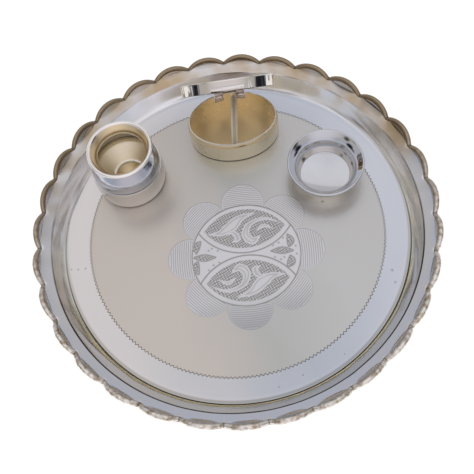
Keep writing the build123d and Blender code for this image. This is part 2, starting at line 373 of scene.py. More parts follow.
@dataclass(frozen=True)
class TrayNickelSilver(NickelSilver):
    """The tray's sheet: buffed satin inside the wriggle line, bright outside it, yellower on the worked rim.

    The rim's yellow and brown are partly mottled tarnish and partly painted: a painted shade on the far flare
    and far hem, and a painted warm reflection low on the near wall. Painted shade also darkens the near
    creases and the valleys between the scallops, and a few small stains sit on the floor.
    """

    # The drift of the satin and the flange across the tray is painted light and painted reflection, not a
    # change in the metal.
    satin: Stops = ((0.1, "#D7CEC5"), (0.45, "#C4C4C0"), (0.85, "#D1D0CE"))
    satin_light_drift: Spot = (7.0, 0.5, 0.0)
    satin_roughness: float = 0.34
    flange: Stops = ((0.1, "#DFDAD7"), (0.55, "#C1C6CF"), (0.9, "#D1D4DB"))
    flange_light_drift: Spot = (4.0, 0.0, 0.0)
    drift_cloud_mm: float = 70.0
    drift_cloud_share: float = 0.4
    drift_start: float = 0.25
    mottle_detail: float = 2.0
    # The flare's tarnish mottle turns bright on the near half; its browner far half is a painted shade.
    flare_tarnish_and_far_shade: str = "#B8A486"
    flare_ages: tuple[float, float, float] = (0.35, 0.75, 1.0)
    # Low on the wall's near half, the warmer colour is a painted warm reflection.
    wall_near: str = "#FFFEFC"
    wall_warm_reflection: str = "#FAFAE8"
    wall_far: str = "#FFFEFF"
    far_roughness: float = 0.26
    # The hem is mottled with tarnish on the near half; the one darker brown on the far half is a painted
    # shade.
    hem_tint: str = "#F6F0E8"
    hem_tarnished: str = "#B7A58E"
    hem_far_shade: str = "#A18F76"
    hem_cloud_mm: float = 3.0
    hem_ages: Point = (0.36, 0.58)
    hem_roughness: float = 0.32
    # Painted shade: a dark line along the near creases and in the valleys between the scallops.
    crease_shade_colour: str = "#5C574E"
    crease_shade_mm: float = 0.45
    satin_radius_mm: float = 103.6
    wall_radius_mm: float = 120.4
    foot_line_mm: float = 120.9
    gold_radius_mm: float = 123.6
    crease_radius_mm: float = 128.0
    edge_mm: float = 0.6
    gold_edge_mm: float = 1.8
    wall_edge_mm: float = 2.4
    near_edge_mm: float = 50.0
    floor_mm: float = 1.0
    hem_attribute: str = "on_hem"
    valley_attribute: str = "in_valley"
    stains: tuple[Stain, ...] = ()
    stain_colour: str = "#6E5F4C"

    def zones(self, tree: Tree, place: Any) -> dict[Zone, Any]:
        """Level of each zone, which rises from 0 outside the zone to 1 in it.

        Args:
            tree: node tree that takes the nodes.
            place: coordinate socket, in metres.

        Returns:
            The sockets by zone.
        """
        radius = self.reach(tree, place)[1]
        levels = {}
        for zone, limit_mm, soft_mm in (
                (Zone.OUTER_FLOOR, self.satin_radius_mm, self.edge_mm),
                (Zone.WALL, self.wall_radius_mm, self.wall_edge_mm),
                (Zone.UPPER_WALL, self.gold_radius_mm, self.gold_edge_mm),
                (Zone.FLARE, self.crease_radius_mm, self.edge_mm)):
            step = add_node(tree, "ShaderNodeMapRange", {
                "Value": radius, "From Min": (limit_mm - soft_mm / 2) * MM,
                "From Max": (limit_mm + soft_mm / 2) * MM})
            levels[zone] = step.outputs["Result"]
        hem = add_node(tree, "ShaderNodeAttribute", attribute_name=self.hem_attribute)
        levels[Zone.HEM] = hem.outputs["Fac"]
        back = add_node(tree, "ShaderNodeSeparateXYZ", {0: place}).outputs["Y"]
        near = add_node(tree, "ShaderNodeMapRange", {
            "Value": back, "From Min": self.near_edge_mm * MM, "From Max": -self.near_edge_mm * MM})
        levels[Zone.NEAR_HALF] = near.outputs["Result"]
        return levels

    def across(self, tree: Tree, place: Any, stops: Stops, toward: Spot) -> Any:
        """Colour with painted light that drifts across the tray, broken up by clouds.

        Args:
            tree: node tree that takes the nodes.
            place: coordinate socket, in metres.
            stops: positions and colours of the drift; the tray's middle is near a half.
            toward: direction of the drift; its length is the change in each metre.

        Returns:
            The colour socket.
        """
        cloud = self.clouds(tree, place, self.drift_cloud_mm, self.mottle_detail)
        drift = add_node(tree, "ShaderNodeVectorMath", {0: place, 1: toward}, operation="DOT_PRODUCT")
        level = add_node(tree, "ShaderNodeMath", {
            0: cloud, 1: self.drift_cloud_share, 2: drift.outputs["Value"]}, operation="MULTIPLY_ADD")
        middle = add_node(tree, "ShaderNodeMath", {
            0: level.outputs["Value"], 1: self.drift_start}, operation="ADD")
        colour = add_node(tree, "ShaderNodeValToRGB", {"Fac": middle.outputs["Value"]}, stops=stops)
        return colour.outputs["Color"]

    def painted_crease_shade(self, tree: Tree, place: Any, near: Any) -> Any:
        """Level of the painted shade in the near creases of the wall and between the scallops.

        Args:
            tree: node tree that takes the nodes.
            place: coordinate socket, in metres.
            near: level of the tray's near half.

        Returns:
            The level's socket, from 0 to 1.
        """
        radius = self.reach(tree, place)[1]
        level = add_node(tree, "ShaderNodeAttribute", attribute_name=self.valley_attribute).outputs["Fac"]
        for line_mm in (self.foot_line_mm, self.crease_radius_mm):
            gap = add_node(tree, "ShaderNodeMath", {
                0: radius, 1: line_mm * MM, 2: self.crease_shade_mm * MM}, operation="COMPARE")
            dark = add_node(tree, "ShaderNodeMath", {0: gap.outputs["Value"], 1: near}, operation="MULTIPLY")
            level = add_node(tree, "ShaderNodeMath", {
                0: level, 1: dark.outputs["Value"]}, operation="MAXIMUM").outputs["Value"]
        return level

    def stain_layers(self, tree: Tree, place: Any) -> list[tuple[Any, Any]]:
        """Layers of the small dark spots.

        Args:
            tree: node tree that takes the nodes.
            place: coordinate socket, in metres.

        Returns:
            For each spot, the socket that says where it covers, and its colour.
        """
        layers = []
        for stain in self.stains:
            gap = add_node(tree, "ShaderNodeVectorMath", {
                0: place, 1: (stain.x_mm * MM, stain.y_mm * MM, self.floor_mm * MM)}, operation="DISTANCE")
            cover = add_node(tree, "ShaderNodeMapRange", {
                "Value": gap.outputs["Value"], "From Min": stain.radius_mm * MM, "From Max": 0.0,
                "To Max": stain.strength}, interpolation_type="SMOOTHSTEP")
            layers.append((cover.outputs["Result"], linear(self.stain_colour)))
        return layers

    def base_colour(self, tree: Tree, place: Any) -> Any:
        """Colour of the sheet, zone over zone from the floor to the hem.

        Args:
            tree: node tree that takes the nodes.
            place: coordinate socket, in metres.

        Returns:
            The colour socket.
        """
        levels = self.zones(tree, place)
        near = levels[Zone.NEAR_HALF]
        mottled = self.clouds(tree, place, self.cloud_mm, self.mottle_detail)
        tarnish_and_painted_light = add_node(tree, "ShaderNodeMath", {0: mottled, 1: near}, operation="ADD")
        flare_colours = (self.flare_tarnish_and_far_shade, self.tarnished, self.bright)
        polished = add_node(
            tree, "ShaderNodeValToRGB", {"Fac": tarnish_and_painted_light.outputs["Value"]},
            stops=tuple(zip(self.flare_ages, flare_colours)))
        lined = add_node(
            tree, "ShaderNodeValToRGB", {"Fac": levels[Zone.UPPER_WALL]},
            stops=((0.0, self.wall_warm_reflection), (1.0, self.wall_near)))
        worn = add_node(
            tree, "ShaderNodeValToRGB", {"Fac": self.clouds(tree, place, self.hem_cloud_mm)},
            stops=tuple(zip(self.hem_ages, (self.hem_tarnished, self.hem_tint))))
        return layered(tree, self.across(tree, place, self.satin, self.satin_light_drift), [
            (levels[Zone.OUTER_FLOOR], self.across(tree, place, self.flange, self.flange_light_drift)),
            (levels[Zone.WALL], layered(tree, linear(self.wall_far), [(near, lined.outputs["Color"])])),
            (levels[Zone.FLARE], polished.outputs["Color"]),
            (levels[Zone.HEM], layered(tree, linear(self.hem_far_shade), [(near, worn.outputs["Color"])])),
            (self.painted_crease_shade(tree, place, near), linear(self.crease_shade_colour)),
            *self.stain_layers(tree, place)])

    def gloss(self, tree: Tree, place: Any) -> Any:
        """Roughness of the sheet: satin in the middle, duller on the far wall and on the hem.

        Args:
            tree: node tree that takes the nodes.
            place: coordinate socket, in metres.

        Returns:
            The roughness socket.
        """
        levels = self.zones(tree, place)
        polish = super().gloss(tree, place)
        wall = layered(tree, self.far_roughness, [(levels[Zone.NEAR_HALF], polish)], Blend.NUMBER)
        outer = layered(tree, polish, [
            (levels[Zone.WALL], wall), (levels[Zone.FLARE], polish),
            (levels[Zone.HEM], self.hem_roughness)], Blend.NUMBER)
        return layered(tree, self.satin_roughness, [(levels[Zone.OUTER_FLOOR], outer)], Blend.NUMBER)


@dataclass(frozen=True)
class VesselNickelSilver(NickelSilver):
    """Spun vessel: bright outside, and a yellower satin inside, where the buffing wheel can't reach; the
    yellow is painted warm light.
    """

    axis_mm: Point = (0.0, 0.0)
    mouth_radius_mm: float = 16.6
    lip_radius_mm: float = 20.4
    edge_mm: float = 0.3
    inward_start_mm: float = -2.0
    inward_end_mm: float = -4.0
    inner_bands: tuple[Band, ...] = ()
    inside_bright: str = "#FFF5DE"
    inside_tarnished: str = "#FFEFD0"
    inside_ages: Point = (0.3, 0.7)
    inside_roughness: float = 0.4
    # The ring pressed in the floor is a real bead; its whiter colour is a painted highlight.
    ring: str = "#FFFBF4"
    ring_radius_mm: float = 11.5
    ring_half_mm: float = 0.7
    ring_roughness: float = 0.12

    def on_axis(self, node: str) -> "VesselNickelSilver":
        """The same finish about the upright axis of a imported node."""
        low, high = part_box(node)
        return replace(self, axis_mm=((low[0] + high[0]) / 2 / MM, (low[1] + high[1]) / 2 / MM))

    def within(self, tree: Tree, length: Any, radius_mm: float) -> Any:
        """Level that is 1 nearer to the axis than a radius and 0 outside it."""
        step = add_node(tree, "ShaderNodeMapRange", {
            "Value": length, "From Min": radius_mm * MM, "From Max": (radius_mm - self.edge_mm) * MM})
        return step.outputs["Result"]

    def inner(self, tree: Tree, place: Any) -> Any:
        """Level that is 1 on the vessel's inner faces and 0 on its outer ones.

        Args:
            tree: node tree that takes the nodes.
            place: coordinate socket, in metres.

        Returns:
            The level's socket.
        """
        out, length = self.reach(tree, place, self.axis_mm)
        normal = add_node(tree, "ShaderNodeTexCoord").outputs["Normal"]
        facing = add_node(tree, "ShaderNodeVectorMath", {0: out, 1: normal}, operation="DOT_PRODUCT")
        turned = add_node(tree, "ShaderNodeMapRange", {
            "Value": facing.outputs["Value"], "From Min": self.inward_start_mm * MM,
            "From Max": self.inward_end_mm * MM})
        below_lip = self.within(tree, length, self.lip_radius_mm)
        funnel = add_node(tree, "ShaderNodeMath", {
            0: turned.outputs["Result"], 1: below_lip}, operation="MULTIPLY")
        in_mouth = self.within(tree, length, self.mouth_radius_mm)
        level = add_node(tree, "ShaderNodeMath", {
            0: funnel.outputs["Value"], 1: in_mouth}, operation="MAXIMUM")
        return level.outputs["Value"]

    def pressed_ring(self, tree: Tree, place: Any) -> Any:
        """Level that is 1 on the ring that is pressed in the floor, where a highlight is painted.

        Args:
            tree: node tree that takes the nodes.
            place: coordinate socket, in metres.

        Returns:
            The level's socket.
        """
        length = self.reach(tree, place, self.axis_mm)[1]
        level = add_node(tree, "ShaderNodeMath", {
            0: length, 1: self.ring_radius_mm * MM, 2: self.ring_half_mm * MM}, operation="COMPARE")
        return level.outputs["Value"]

    def base_colour(self, tree: Tree, place: Any) -> Any:
        """Colour of the metal, yellower inside with painted warm light, and a painted highlight on the
        pressed ring.

        Args:
            tree: node tree that takes the nodes.
            place: coordinate socket, in metres.

        Returns:
            The colour socket.
        """
        satin = add_node(
            tree, "ShaderNodeValToRGB", {"Fac": self.clouds(tree, place, self.cloud_mm)},
            stops=tuple(zip(self.inside_ages, (self.inside_tarnished, self.inside_bright))))
        lined = self.banded(tree, place, satin.outputs["Color"], self.inner_bands)
        inside = layered(tree, lined, [(self.pressed_ring(tree, place), linear(self.ring))])
        return layered(tree, super().base_colour(tree, place), [(self.inner(tree, place), inside)])

    def gloss(self, tree: Tree, place: Any) -> Any:
        """Roughness of the metal, duller inside.

        Args:
            tree: node tree that takes the nodes.
            place: coordinate socket, in metres.

        Returns:
            The roughness socket.
        """
        inside = layered(tree, self.inside_roughness, [
            (self.pressed_ring(tree, place), self.ring_roughness)], Blend.NUMBER)
        return layered(tree, super().gloss(tree, place), [(self.inner(tree, place), inside)], Blend.NUMBER)


@dataclass(frozen=True)
class EngravedNickelSilver(NickelSilver):
    """Bright-cut engraving: fresh metal on the raised parts and grey tarnish left in the cuts."""

    cut: str = "#989692"
    near_shade: str = "#BFC0C3"
    shade_start_mm: float = -48.0
    shade_end_mm: float = -70.0
    depth_attribute: str = "cut_depth"

    def base_colour(self, tree: Tree, place: Any) -> Any:
        """Colour of the metal, darker in the cuts and greyer on the nearest petals, where shade is painted.

        Args:
            tree: node tree that takes the nodes.
            place: coordinate socket, in metres.

        Returns:
            The colour socket.
        """
        back = add_node(tree, "ShaderNodeSeparateXYZ", {0: place}).outputs["Y"]
        near = add_node(tree, "ShaderNodeMapRange", {
            "Value": back, "From Min": self.shade_start_mm * MM, "From Max": self.shade_end_mm * MM})
        depth = add_node(tree, "ShaderNodeAttribute", attribute_name=self.depth_attribute)
        return layered(tree, super().base_colour(tree, place), [
            (near.outputs["Result"], linear(self.near_shade)), (depth.outputs["Fac"], linear(self.cut))])


class Bench:
    """Modelling steps that the pieces share."""

    spin_weld_m: float = 1e-7
    copy_weld_m: float = 1e-6
    vessel_shade_deg: float = 32.0

    @staticmethod
    def clear() -> None:
        """Leave edit mode and deselect everything."""
        if bpy.context.object and bpy.context.object.mode != "OBJECT":
            bpy.ops.object.mode_set(mode="OBJECT")
        bpy.ops.object.select_all(action="DESELECT")

    @classmethod
    def pick(cls, obj: Piece) -> None:
        """Select one piece alone and make it the active one.

        Args:
            obj: the piece.
        """
        cls.clear()
        obj.select_set(True)
        bpy.context.view_layer.objects.active = obj

    @staticmethod
    def named(name: str) -> Piece:
        """Name the active object and its mesh.

        Args:
            name: the new name.

        Returns:
            The object.
        """
        obj = bpy.context.object
        obj.name = name
        obj.data.name = name
        return obj

    @staticmethod
    def coordinates(obj: Piece) -> np.ndarray:
        """Read the mesh's points.

        Args:
            obj: the piece.

        Returns:
            One row of x, y and z for each point, in metres.
        """
        flat = np.empty(len(obj.data.vertices) * 3)
        obj.data.vertices.foreach_get("co", flat)
        return flat.reshape(-1, 3)

    @staticmethod
    def place_points(obj: Piece, points: np.ndarray) -> None:
        """Write the mesh's points, in metres."""
        obj.data.vertices.foreach_set("co", points.ravel())
        obj.data.update()

    @staticmethod
    def mark(obj: Piece, name: str, levels: np.ndarray) -> None:
        """Store a level at each point of a piece, for its material to read."""
        layer = obj.data.attributes.new(name, "FLOAT", "POINT")
        layer.data.foreach_set("value", levels.astype(np.float32))

    @classmethod
    def spun(cls, name: str, profile: Sequence[Point], steps: int) -> Piece:
        """Spin a closed outline about Z, as on a lathe.

        Args:
            name: name of the piece.
            profile: radius and height of each point of the outline, in millimetres.
            steps: spin steps in a full turn.

        Returns:
            The closed turned piece.
        """
        cls.clear()
        bpy.ops.mesh.primitive_plane_add(size=MM)
        obj = cls.named(name)
        bpy.ops.object.mode_set(mode="EDIT")
        bpy.ops.mesh.merge(type="CENTER")
        here = Vector((profile[0][0], 0.0, profile[0][1])) * MM
        bpy.ops.transform.translate(value=here)
        for radius, height in profile[1:]:
            there = Vector((radius, 0.0, height)) * MM
            bpy.ops.mesh.extrude_region_move(TRANSFORM_OT_translate={"value": there - here})
            here = there
        bpy.ops.mesh.select_all(action="SELECT")
        bpy.ops.mesh.spin(steps=steps, angle=2 * math.pi, center=(0, 0, 0), axis=UPRIGHT)
        bpy.ops.mesh.select_all(action="SELECT")
        bpy.ops.mesh.remove_doubles(threshold=cls.spin_weld_m)
        bpy.ops.mesh.normals_make_consistent(inside=False)
        bpy.ops.object.mode_set(mode="OBJECT")
        return obj

    @classmethod
    def turned(cls, name: str, profile: Sequence[Point], steps: int, node: str) -> Piece:
        """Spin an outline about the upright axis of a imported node, from the tray's floor up.

        Args:
            name: name of the piece.
            profile: radius and height of each point of the outline, in millimetres.
            steps: spin steps in a full turn.
            node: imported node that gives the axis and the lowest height.

        Returns:
            The turned piece, in its place and shaded smooth.
        """
        obj = cls.spun(name, profile, steps)
        low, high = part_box(node)
        base = min(height for _, height in profile)
        shift = np.array([(low[0] + high[0]) / 2, (low[1] + high[1]) / 2, low[2] - base * MM])
        cls.place_points(obj, cls.coordinates(obj) + shift)
        cls.smooth(obj, cls.vessel_shade_deg)
        return obj

    @classmethod
    def welded_copy(cls, node: Piece, name: str) -> Piece:
        """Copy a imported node, weld its loose triangles and shade it smooth.

        Args:
            node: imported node.
            name: name of the new piece.

        Returns:
            The new piece, which has its own mesh.
        """
        obj = bpy.data.objects.new(name, node.data.copy())
        obj.data.name = name
        bpy.context.scene.collection.objects.link(obj)
        cls.pick(obj)
        bpy.ops.object.mode_set(mode="EDIT")
        bpy.ops.mesh.select_all(action="SELECT")
        bpy.ops.mesh.remove_doubles(threshold=cls.copy_weld_m)
        bpy.ops.object.mode_set(mode="OBJECT")
        cls.smooth(obj, cls.vessel_shade_deg)
        return obj

    @classmethod
    def face_out(cls, obj: Piece) -> None:
        """Turn every face of a closed piece outwards.

        Args:
            obj: the piece.
        """
        cls.pick(obj)
        bpy.ops.object.mode_set(mode="EDIT")
        bpy.ops.mesh.select_all(action="SELECT")
        bpy.ops.mesh.normals_make_consistent(inside=False)
        bpy.ops.object.mode_set(mode="OBJECT")

    @classmethod
    def smooth(cls, obj: Piece, angle_deg: float = 35.0) -> None:
        """Shade a piece smooth, with creases sharper than an angle kept."""
        cls.pick(obj)
        bpy.ops.object.shade_smooth_by_angle(angle=math.radians(angle_deg))

    @staticmethod
    def dress(obj: Piece, material: bpy.types.Material) -> None:
        """Give a piece one material all over."""
        obj.data.materials.clear()
        obj.data.materials.append(material)

    @classmethod
    def fit(cls, obj: Piece, finish: NickelSilver, body: Body, slot: Slot, node: str | None = None) -> Piece:
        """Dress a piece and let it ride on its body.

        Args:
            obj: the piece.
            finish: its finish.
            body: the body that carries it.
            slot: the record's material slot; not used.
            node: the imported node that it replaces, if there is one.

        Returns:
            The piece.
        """
        cls.dress(obj, finish.build())
        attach(obj, body.value)
        if node:
            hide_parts(node)
        return obj


def arc(centre: Point, radius: float, start_deg: float, end_deg: float, steps: int) -> list[Point]:
    """Points along a circular arc of a profile.

    Args:
        centre: the arc's centre.
        radius: the arc's radius.
        start_deg: angle of the first point.
        end_deg: angle of the last point.
        steps: number of chords.

    Returns:
        The points, both ends among them.
    """
    angles = np.radians(np.linspace(start_deg, end_deg, steps + 1))
    return [(centre[0] + radius * math.cos(a), centre[1] + radius * math.sin(a)) for a in angles]


def line(start: Point, end: Point, steps: int) -> list[Point]:
    """Evenly spaced points of a straight run, without its ends.

    Args:
        start: first end.
        end: last end.
        steps: number of chords.

    Returns:
        The points between the ends.
    """
    shares = [step / steps for step in range(1, steps)]
    return [(start[0] + (end[0] - start[0]) * s, start[1] + (end[1] - start[1]) * s) for s in shares]


def rounded(spine: np.ndarray, shares: np.ndarray) -> np.ndarray:
    """Places on a smooth curve through some points.

    Args:
        spine: the points.
        shares: how far along the curve each place is.

    Returns:
        The places.
    """
    padded = np.vstack([2 * spine[0] - spine[1], spine, 2 * spine[-1] - spine[-2]])
    position = shares * (len(spine) - 1)
    index = np.minimum(position.astype(int), len(spine) - 2)
    t = (position - index)[:, None]
    a, b, c, d = (padded[index + step] for step in range(4))
    return 0.5 * (2 * b + (c - a) * t + (2 * a - 5 * b + 4 * c - d) * t**2 + (3 * b - a - 3 * c + d) * t**3)


def bow(*knots: Point, steps: int = 5) -> list[Point]:
    """Points of a profile along a smooth curve through its knots, both ends among them.

    Args:
        knots: places that the curve goes through.
        steps: chords between two knots.

    Returns:
        The points.
    """
    shares = np.linspace(0, 1, steps * (len(knots) - 1) + 1)
    return [(float(x), float(z)) for x, z in rounded(np.array(knots), shares)]


def fade(level: np.ndarray, width: float) -> np.ndarray:
    """Smooth step from 0 to 1 as a depth grows from nothing to a width.

    Args:
        level: depth at each place.
        width: depth at which the step is complete.

    Returns:
        The step at each place.
    """
    share = np.clip(level / width, 0, 1)
    return share * share * (3 - 2 * share)


@dataclass
class Tray:
    """The tray: flat floor, sloping wall, scalloped flare and rolled hem. Sizes in millimetres."""

    sheet: float = 1.0
    height: float = 21.2
    peak_radius: float = 139.4
    scallop_depth: float = 2.5
    scallop_lift: float = 5.4
    scallops: int = 31
    first_peak_share: float = 0.61
    hem_radius: float = 1.8
    flare_run: float = 8.9
    wall_run: float = 7.0
    crease_height: float = 12.5
    crease_round: float = 0.4
    foot_bend: float = 9.0
    level_sheet: float = 1.6
    seam_deg: float = 22.0
    flare_curl: float = 5.0
    mitre_share: float = 0.999
    valley_share: float = 0.84
    steps_per_scallop: int = 24
    floor_steps: int = 12
    under_steps: int = 8
    bend_steps: int = 7
    wall_steps: int = 4
    flare_steps: int = 10
    roll_steps: int = 20
    stand_in_step: float = 10.0
    shade_deg: float = 19.0
    wall_ripple: float = 0.7
    ripple_turns: tuple[tuple[int, float], ...] = ((9, 0.6), (17, 2.1), (29, 4.0), (43, 0.3))
    patch_least: float = 0.35
    patch_turns: float = 1.5
    patch_phase: float = 0.4
    ridge_height: float = 0.28
    ridge_count: float = 1.7
    ridge_sway: float = 1.1
    sway_turns: int = 3
    sway_phase: float = 1.0
    ridge_focus: int = 4
    wriggle_radius: float = 103.6
    wriggle_swing: float = 0.7
    wriggle_count: int = 232
    wriggle_width: float = 0.6
    wriggle_height: float = 0.1
    wriggle_bevel: int = 1
    finish: TrayNickelSilver = TrayNickelSilver(
        name="nickel_silver_sheet_buffed", bright="#E2E4EA", tarnished="#D7D8DB", roughness=0.14,
        roughness_spread=0.03, rub_height_mm=0.002, ripple_height_mm=0.02, ripple_mm=26.0,
        stains=STAINS)
    # A graver's rocked cut: a thin rough line that stays dark with tarnish.
    wriggle_finish: NickelSilver = NickelSilver(
        name="nickel_silver_wriggle_cut", bright="#7A756C", tarnished="#55514A", roughness=0.4)

    @property
    def crease_radius(self) -> float:
        """Radius where the wall meets the flare."""
        return self.peak_radius - self.scallop_depth - self.flare_run

    @property
    def foot_radius(self) -> float:
        """Radius where the floor meets the wall."""
        return self.crease_radius - self.wall_run

    def foot_and_wall(self) -> tuple[list[Point], list[Point]]:
        """Outlines of the upper and the lower skin from the axis to the crease.

        Returns:
            Radius and height of each point of the two, in millimetres.
        """
        slope = math.degrees(math.atan2(self.crease_height - self.sheet, self.wall_run))
        slope_angle = math.radians(slope)
        flat_end = self.foot_radius - self.foot_bend * math.tan(math.radians(slope / 2))
        middle = (flat_end, self.sheet + self.foot_bend)
        bend = arc(middle, self.foot_bend, DOWN_DEG, DOWN_DEG + slope, self.bend_steps)
        round_start = (self.crease_radius - self.crease_round * math.cos(slope_angle),
                       self.crease_height - self.crease_round * math.sin(slope_angle))
        upper = [(0.0, self.sheet)] + line((0.0, self.sheet), bend[0], self.floor_steps) + bend
        upper += line(bend[-1], round_start, self.wall_steps) + [round_start]
        outer_bend = arc(middle, self.foot_bend + self.sheet, DOWN_DEG, DOWN_DEG + slope, self.bend_steps)
        below = (self.crease_radius + self.level_sheet, self.crease_height)
        lower = [(0.0, 0.0)] + line((0.0, 0.0), outer_bend[0], self.under_steps) + outer_bend
        lower += line(outer_bend[-1], below, self.wall_steps) + [below]
        return upper, lower

    def hem_ring(self, turn: np.ndarray, roll: np.ndarray) -> np.ndarray:
        """Points on the rolled hem of one scallop that points along +X, mitred where scallops meet.

        Args:
            turn: place along the scallop, from -1 to 1.
            roll: place round the hem, from 0 at the flare's upper side to 1 at its lower side.

        Returns:
            The points, in millimetres.
        """
        half = math.pi / self.scallops
        peak = self.peak_radius - self.hem_radius
        valley = peak - self.scallop_depth
        chord = valley * math.sin(half)
        run = peak - valley * math.cos(half)
        tilt = math.atan2(self.scallop_lift, run)
        rise = math.hypot(run, self.scallop_lift)
        radius = (chord**2 + rise**2) / (2 * rise)
        out = np.array([math.cos(tilt), 0.0, math.sin(tilt)])
        side = np.array([0.0, 1.0, 0.0])
        normal = np.array([-math.sin(tilt), 0.0, math.cos(tilt)])
        top = np.array([peak, 0.0, self.height - self.hem_radius])
        angle = (turn * math.asin(chord / radius))[:, None]
        reach = np.cos(angle) * out + np.sin(angle) * side
        path = top - radius * out + radius * reach
        along = np.cos(angle) * side - np.sin(angle) * out
        crease = np.stack([self.crease_radius * np.cos(turn * half), self.crease_radius * np.sin(turn * half),
                           np.full(turn.shape, self.crease_height)], 1)
        inward = crease - path
        start = np.arctan2(inward @ normal, (inward * reach).sum(1))
        seam = math.radians(self.seam_deg)
        spot = (start - seam - roll * 2 * (math.pi - seam))[:, None]
        points = path + self.hem_radius * (np.cos(spot) * reach + np.sin(spot) * normal)
        edge = np.stack([-math.sin(half) * np.ones_like(turn), np.sign(turn) * math.cos(half), 0 * turn], 1)
        beyond = (points * edge).sum(1)
        mitred = (beyond > 0) | (np.abs(turn) > self.mitre_share)
        pull = np.where(mitred, beyond / (along * edge).sum(1), 0.0)
        return points - pull[:, None] * along

    def flare_point(self, hem: np.ndarray, local: np.ndarray, share: np.ndarray, start: float) -> np.ndarray:
        """Points between the crease and the hem: a plain cone near the crease that curls into the scallops.

        Args:
            hem: the hem's point at each place.
            local: bearing of each place within its scallop.
            share: how far each place lies from the crease to the hem.
            start: radius of the crease on this side of the sheet.

        Returns:
            The points, in millimetres.
        """
        # The mean of a shallow arc lies a third of its depth below its peak.
        mean_radius = self.peak_radius - self.hem_radius - self.scallop_depth / 3
        mean_height = self.height - self.hem_radius - self.scallop_lift / 3
        compass = np.stack([np.cos(local), np.sin(local), np.zeros_like(local)], 1)
        crease = compass * start + np.array([0.0, 0.0, self.crease_height])
        mean = compass * mean_radius + np.array([0.0, 0.0, mean_height])
        along = share[:, None]
        return crease + along * (mean - crease) + along**self.flare_curl * (hem - mean)

    def ripple(self, radius: np.ndarray, bearing: np.ndarray) -> np.ndarray:
        """Uneven push of the hand-beaten wall, none at its foot and at the hem.

        Args:
            radius: distance of each place from the axis.
            bearing: bearing of each place.

        Returns:
            The push along the radius, in millimetres.
        """
        waves = sum(np.sin(turns * bearing + phase) for turns, phase in self.ripple_turns)
        waves = waves / len(self.ripple_turns)
        swell = np.sin(self.patch_turns * bearing + self.patch_phase)**2
        patches = self.patch_least + (1 - self.patch_least) * swell
        low = np.clip((radius - self.foot_radius) / self.wall_run, 0, 1)
        high = np.clip((self.peak_radius - self.hem_radius - radius) / self.flare_run, 0, 1)
        slant = self.ridge_count * low + self.ridge_sway * np.sin(self.sway_turns * bearing + self.sway_phase)
        ridges = np.sin(2 * math.pi * slant) * np.cos(bearing)**self.ridge_focus * 4 * low * (1 - low)
        return (self.wall_ripple * waves * patches * low + self.ridge_height * ridges) * high

    def build_sheet(self) -> Piece:
        """Spin the sheet with a plain rim, then lift and push its rim into scallops and mark its zones.

        Returns:
            The sheet.
        """
        upper, lower = self.foot_and_wall()
        table = np.array([self.crease_round / self.flare_run]
                         + [step / self.flare_steps for step in range(1, self.flare_steps)])
        count = len(table)
        steps = self.scallops * self.steps_per_scallop
        stand_in = [(self.crease_radius + self.stand_in_step * (place + 1), 0.0)
                    for place in range(2 * count + self.roll_steps + 1)]
        outline = upper + stand_in + lower[::-1]
        obj = Bench.spun("thali_sheet", outline, steps)
        points = Bench.coordinates(obj) / MM
        flat = np.stack([np.hypot(points[:, 0], points[:, 1]), points[:, 2]], 1)
        index = np.argmin(((flat[:, None, :] - np.array(outline)[None, :, :])**2).sum(2), axis=1)
        step = np.round(np.arctan2(points[:, 1], points[:, 0]) / (2 * math.pi) * steps)
        turn = 2 * np.mod(step, self.steps_per_scallop) / self.steps_per_scallop - 1
        local = turn * math.pi / self.scallops
        first = len(upper)
        last = first + len(stand_in)
        hem = self.hem_ring(turn, np.clip((index - first - count) / self.roll_steps, 0, 1))
        above = self.flare_point(hem, local, table[np.clip(index - first, 0, count - 1)], upper[-1][0])
        below = self.flare_point(hem, local, table[np.clip(last - 1 - index, 0, count - 1)], lower[-1][0])
        placed = np.stack([flat[:, 0] * np.cos(local), flat[:, 0] * np.sin(local), flat[:, 1]], 1)
        on_above = (index >= first) & (index < first + count)
        on_below = (index >= last - count) & (index < last)
        on_hem = (index >= first + count) & (index < last - count)
        for chosen, spots in ((on_above, above), (on_below, below), (on_hem, hem)):
            placed = np.where(chosen[:, None], spots, placed)
        scallop = np.floor(step / self.steps_per_scallop) + self.first_peak_share
        radius = np.hypot(placed[:, 0], placed[:, 1])
        angle = np.arctan2(placed[:, 1], placed[:, 0]) + scallop * 2 * math.pi / self.scallops
        pushed = radius + self.ripple(radius, angle)
        placed = np.stack([pushed * np.cos(angle), pushed * np.sin(angle), placed[:, 2]], 1)
        Bench.place_points(obj, placed * MM)
        valley = np.clip((np.abs(turn) - self.valley_share) / (1 - self.valley_share), 0, 1) * on_hem
        Bench.mark(obj, self.finish.hem_attribute, on_hem)
        Bench.mark(obj, self.finish.valley_attribute, valley)
        Bench.face_out(obj)
        Bench.smooth(obj, self.shade_deg)
        return obj

    def build_wriggle(self) -> Piece:
        """Model the zigzag line that the graver walked round the floor.

        Returns:
            The line.
        """
        name = "thali_wriggle_line"
        floor = self.sheet * MM
        Bench.clear()
        bpy.ops.mesh.primitive_circle_add(vertices=2 * self.wriggle_count, radius=self.wriggle_radius * MM)
        obj = Bench.named(name)
        points = Bench.coordinates(obj)
        swing = np.where(np.arange(len(points)) % 2, 1, -1) * self.wriggle_swing
        points[:, :2] *= (1 + swing / self.wriggle_radius)[:, None]
        points[:, 2] = floor
        Bench.place_points(obj, points)
        bpy.ops.object.convert(target="CURVE")
        obj = bpy.context.object
        obj.data.bevel_depth = self.wriggle_width / 2 * MM
        obj.data.bevel_resolution = self.wriggle_bevel
        bpy.ops.object.convert(target="MESH")
        obj = Bench.named(name)
        points = Bench.coordinates(obj)
        points[:, 2] = floor + (points[:, 2] - floor) * self.wriggle_height / self.wriggle_width
        Bench.place_points(obj, points)
        Bench.smooth(obj)
        return obj

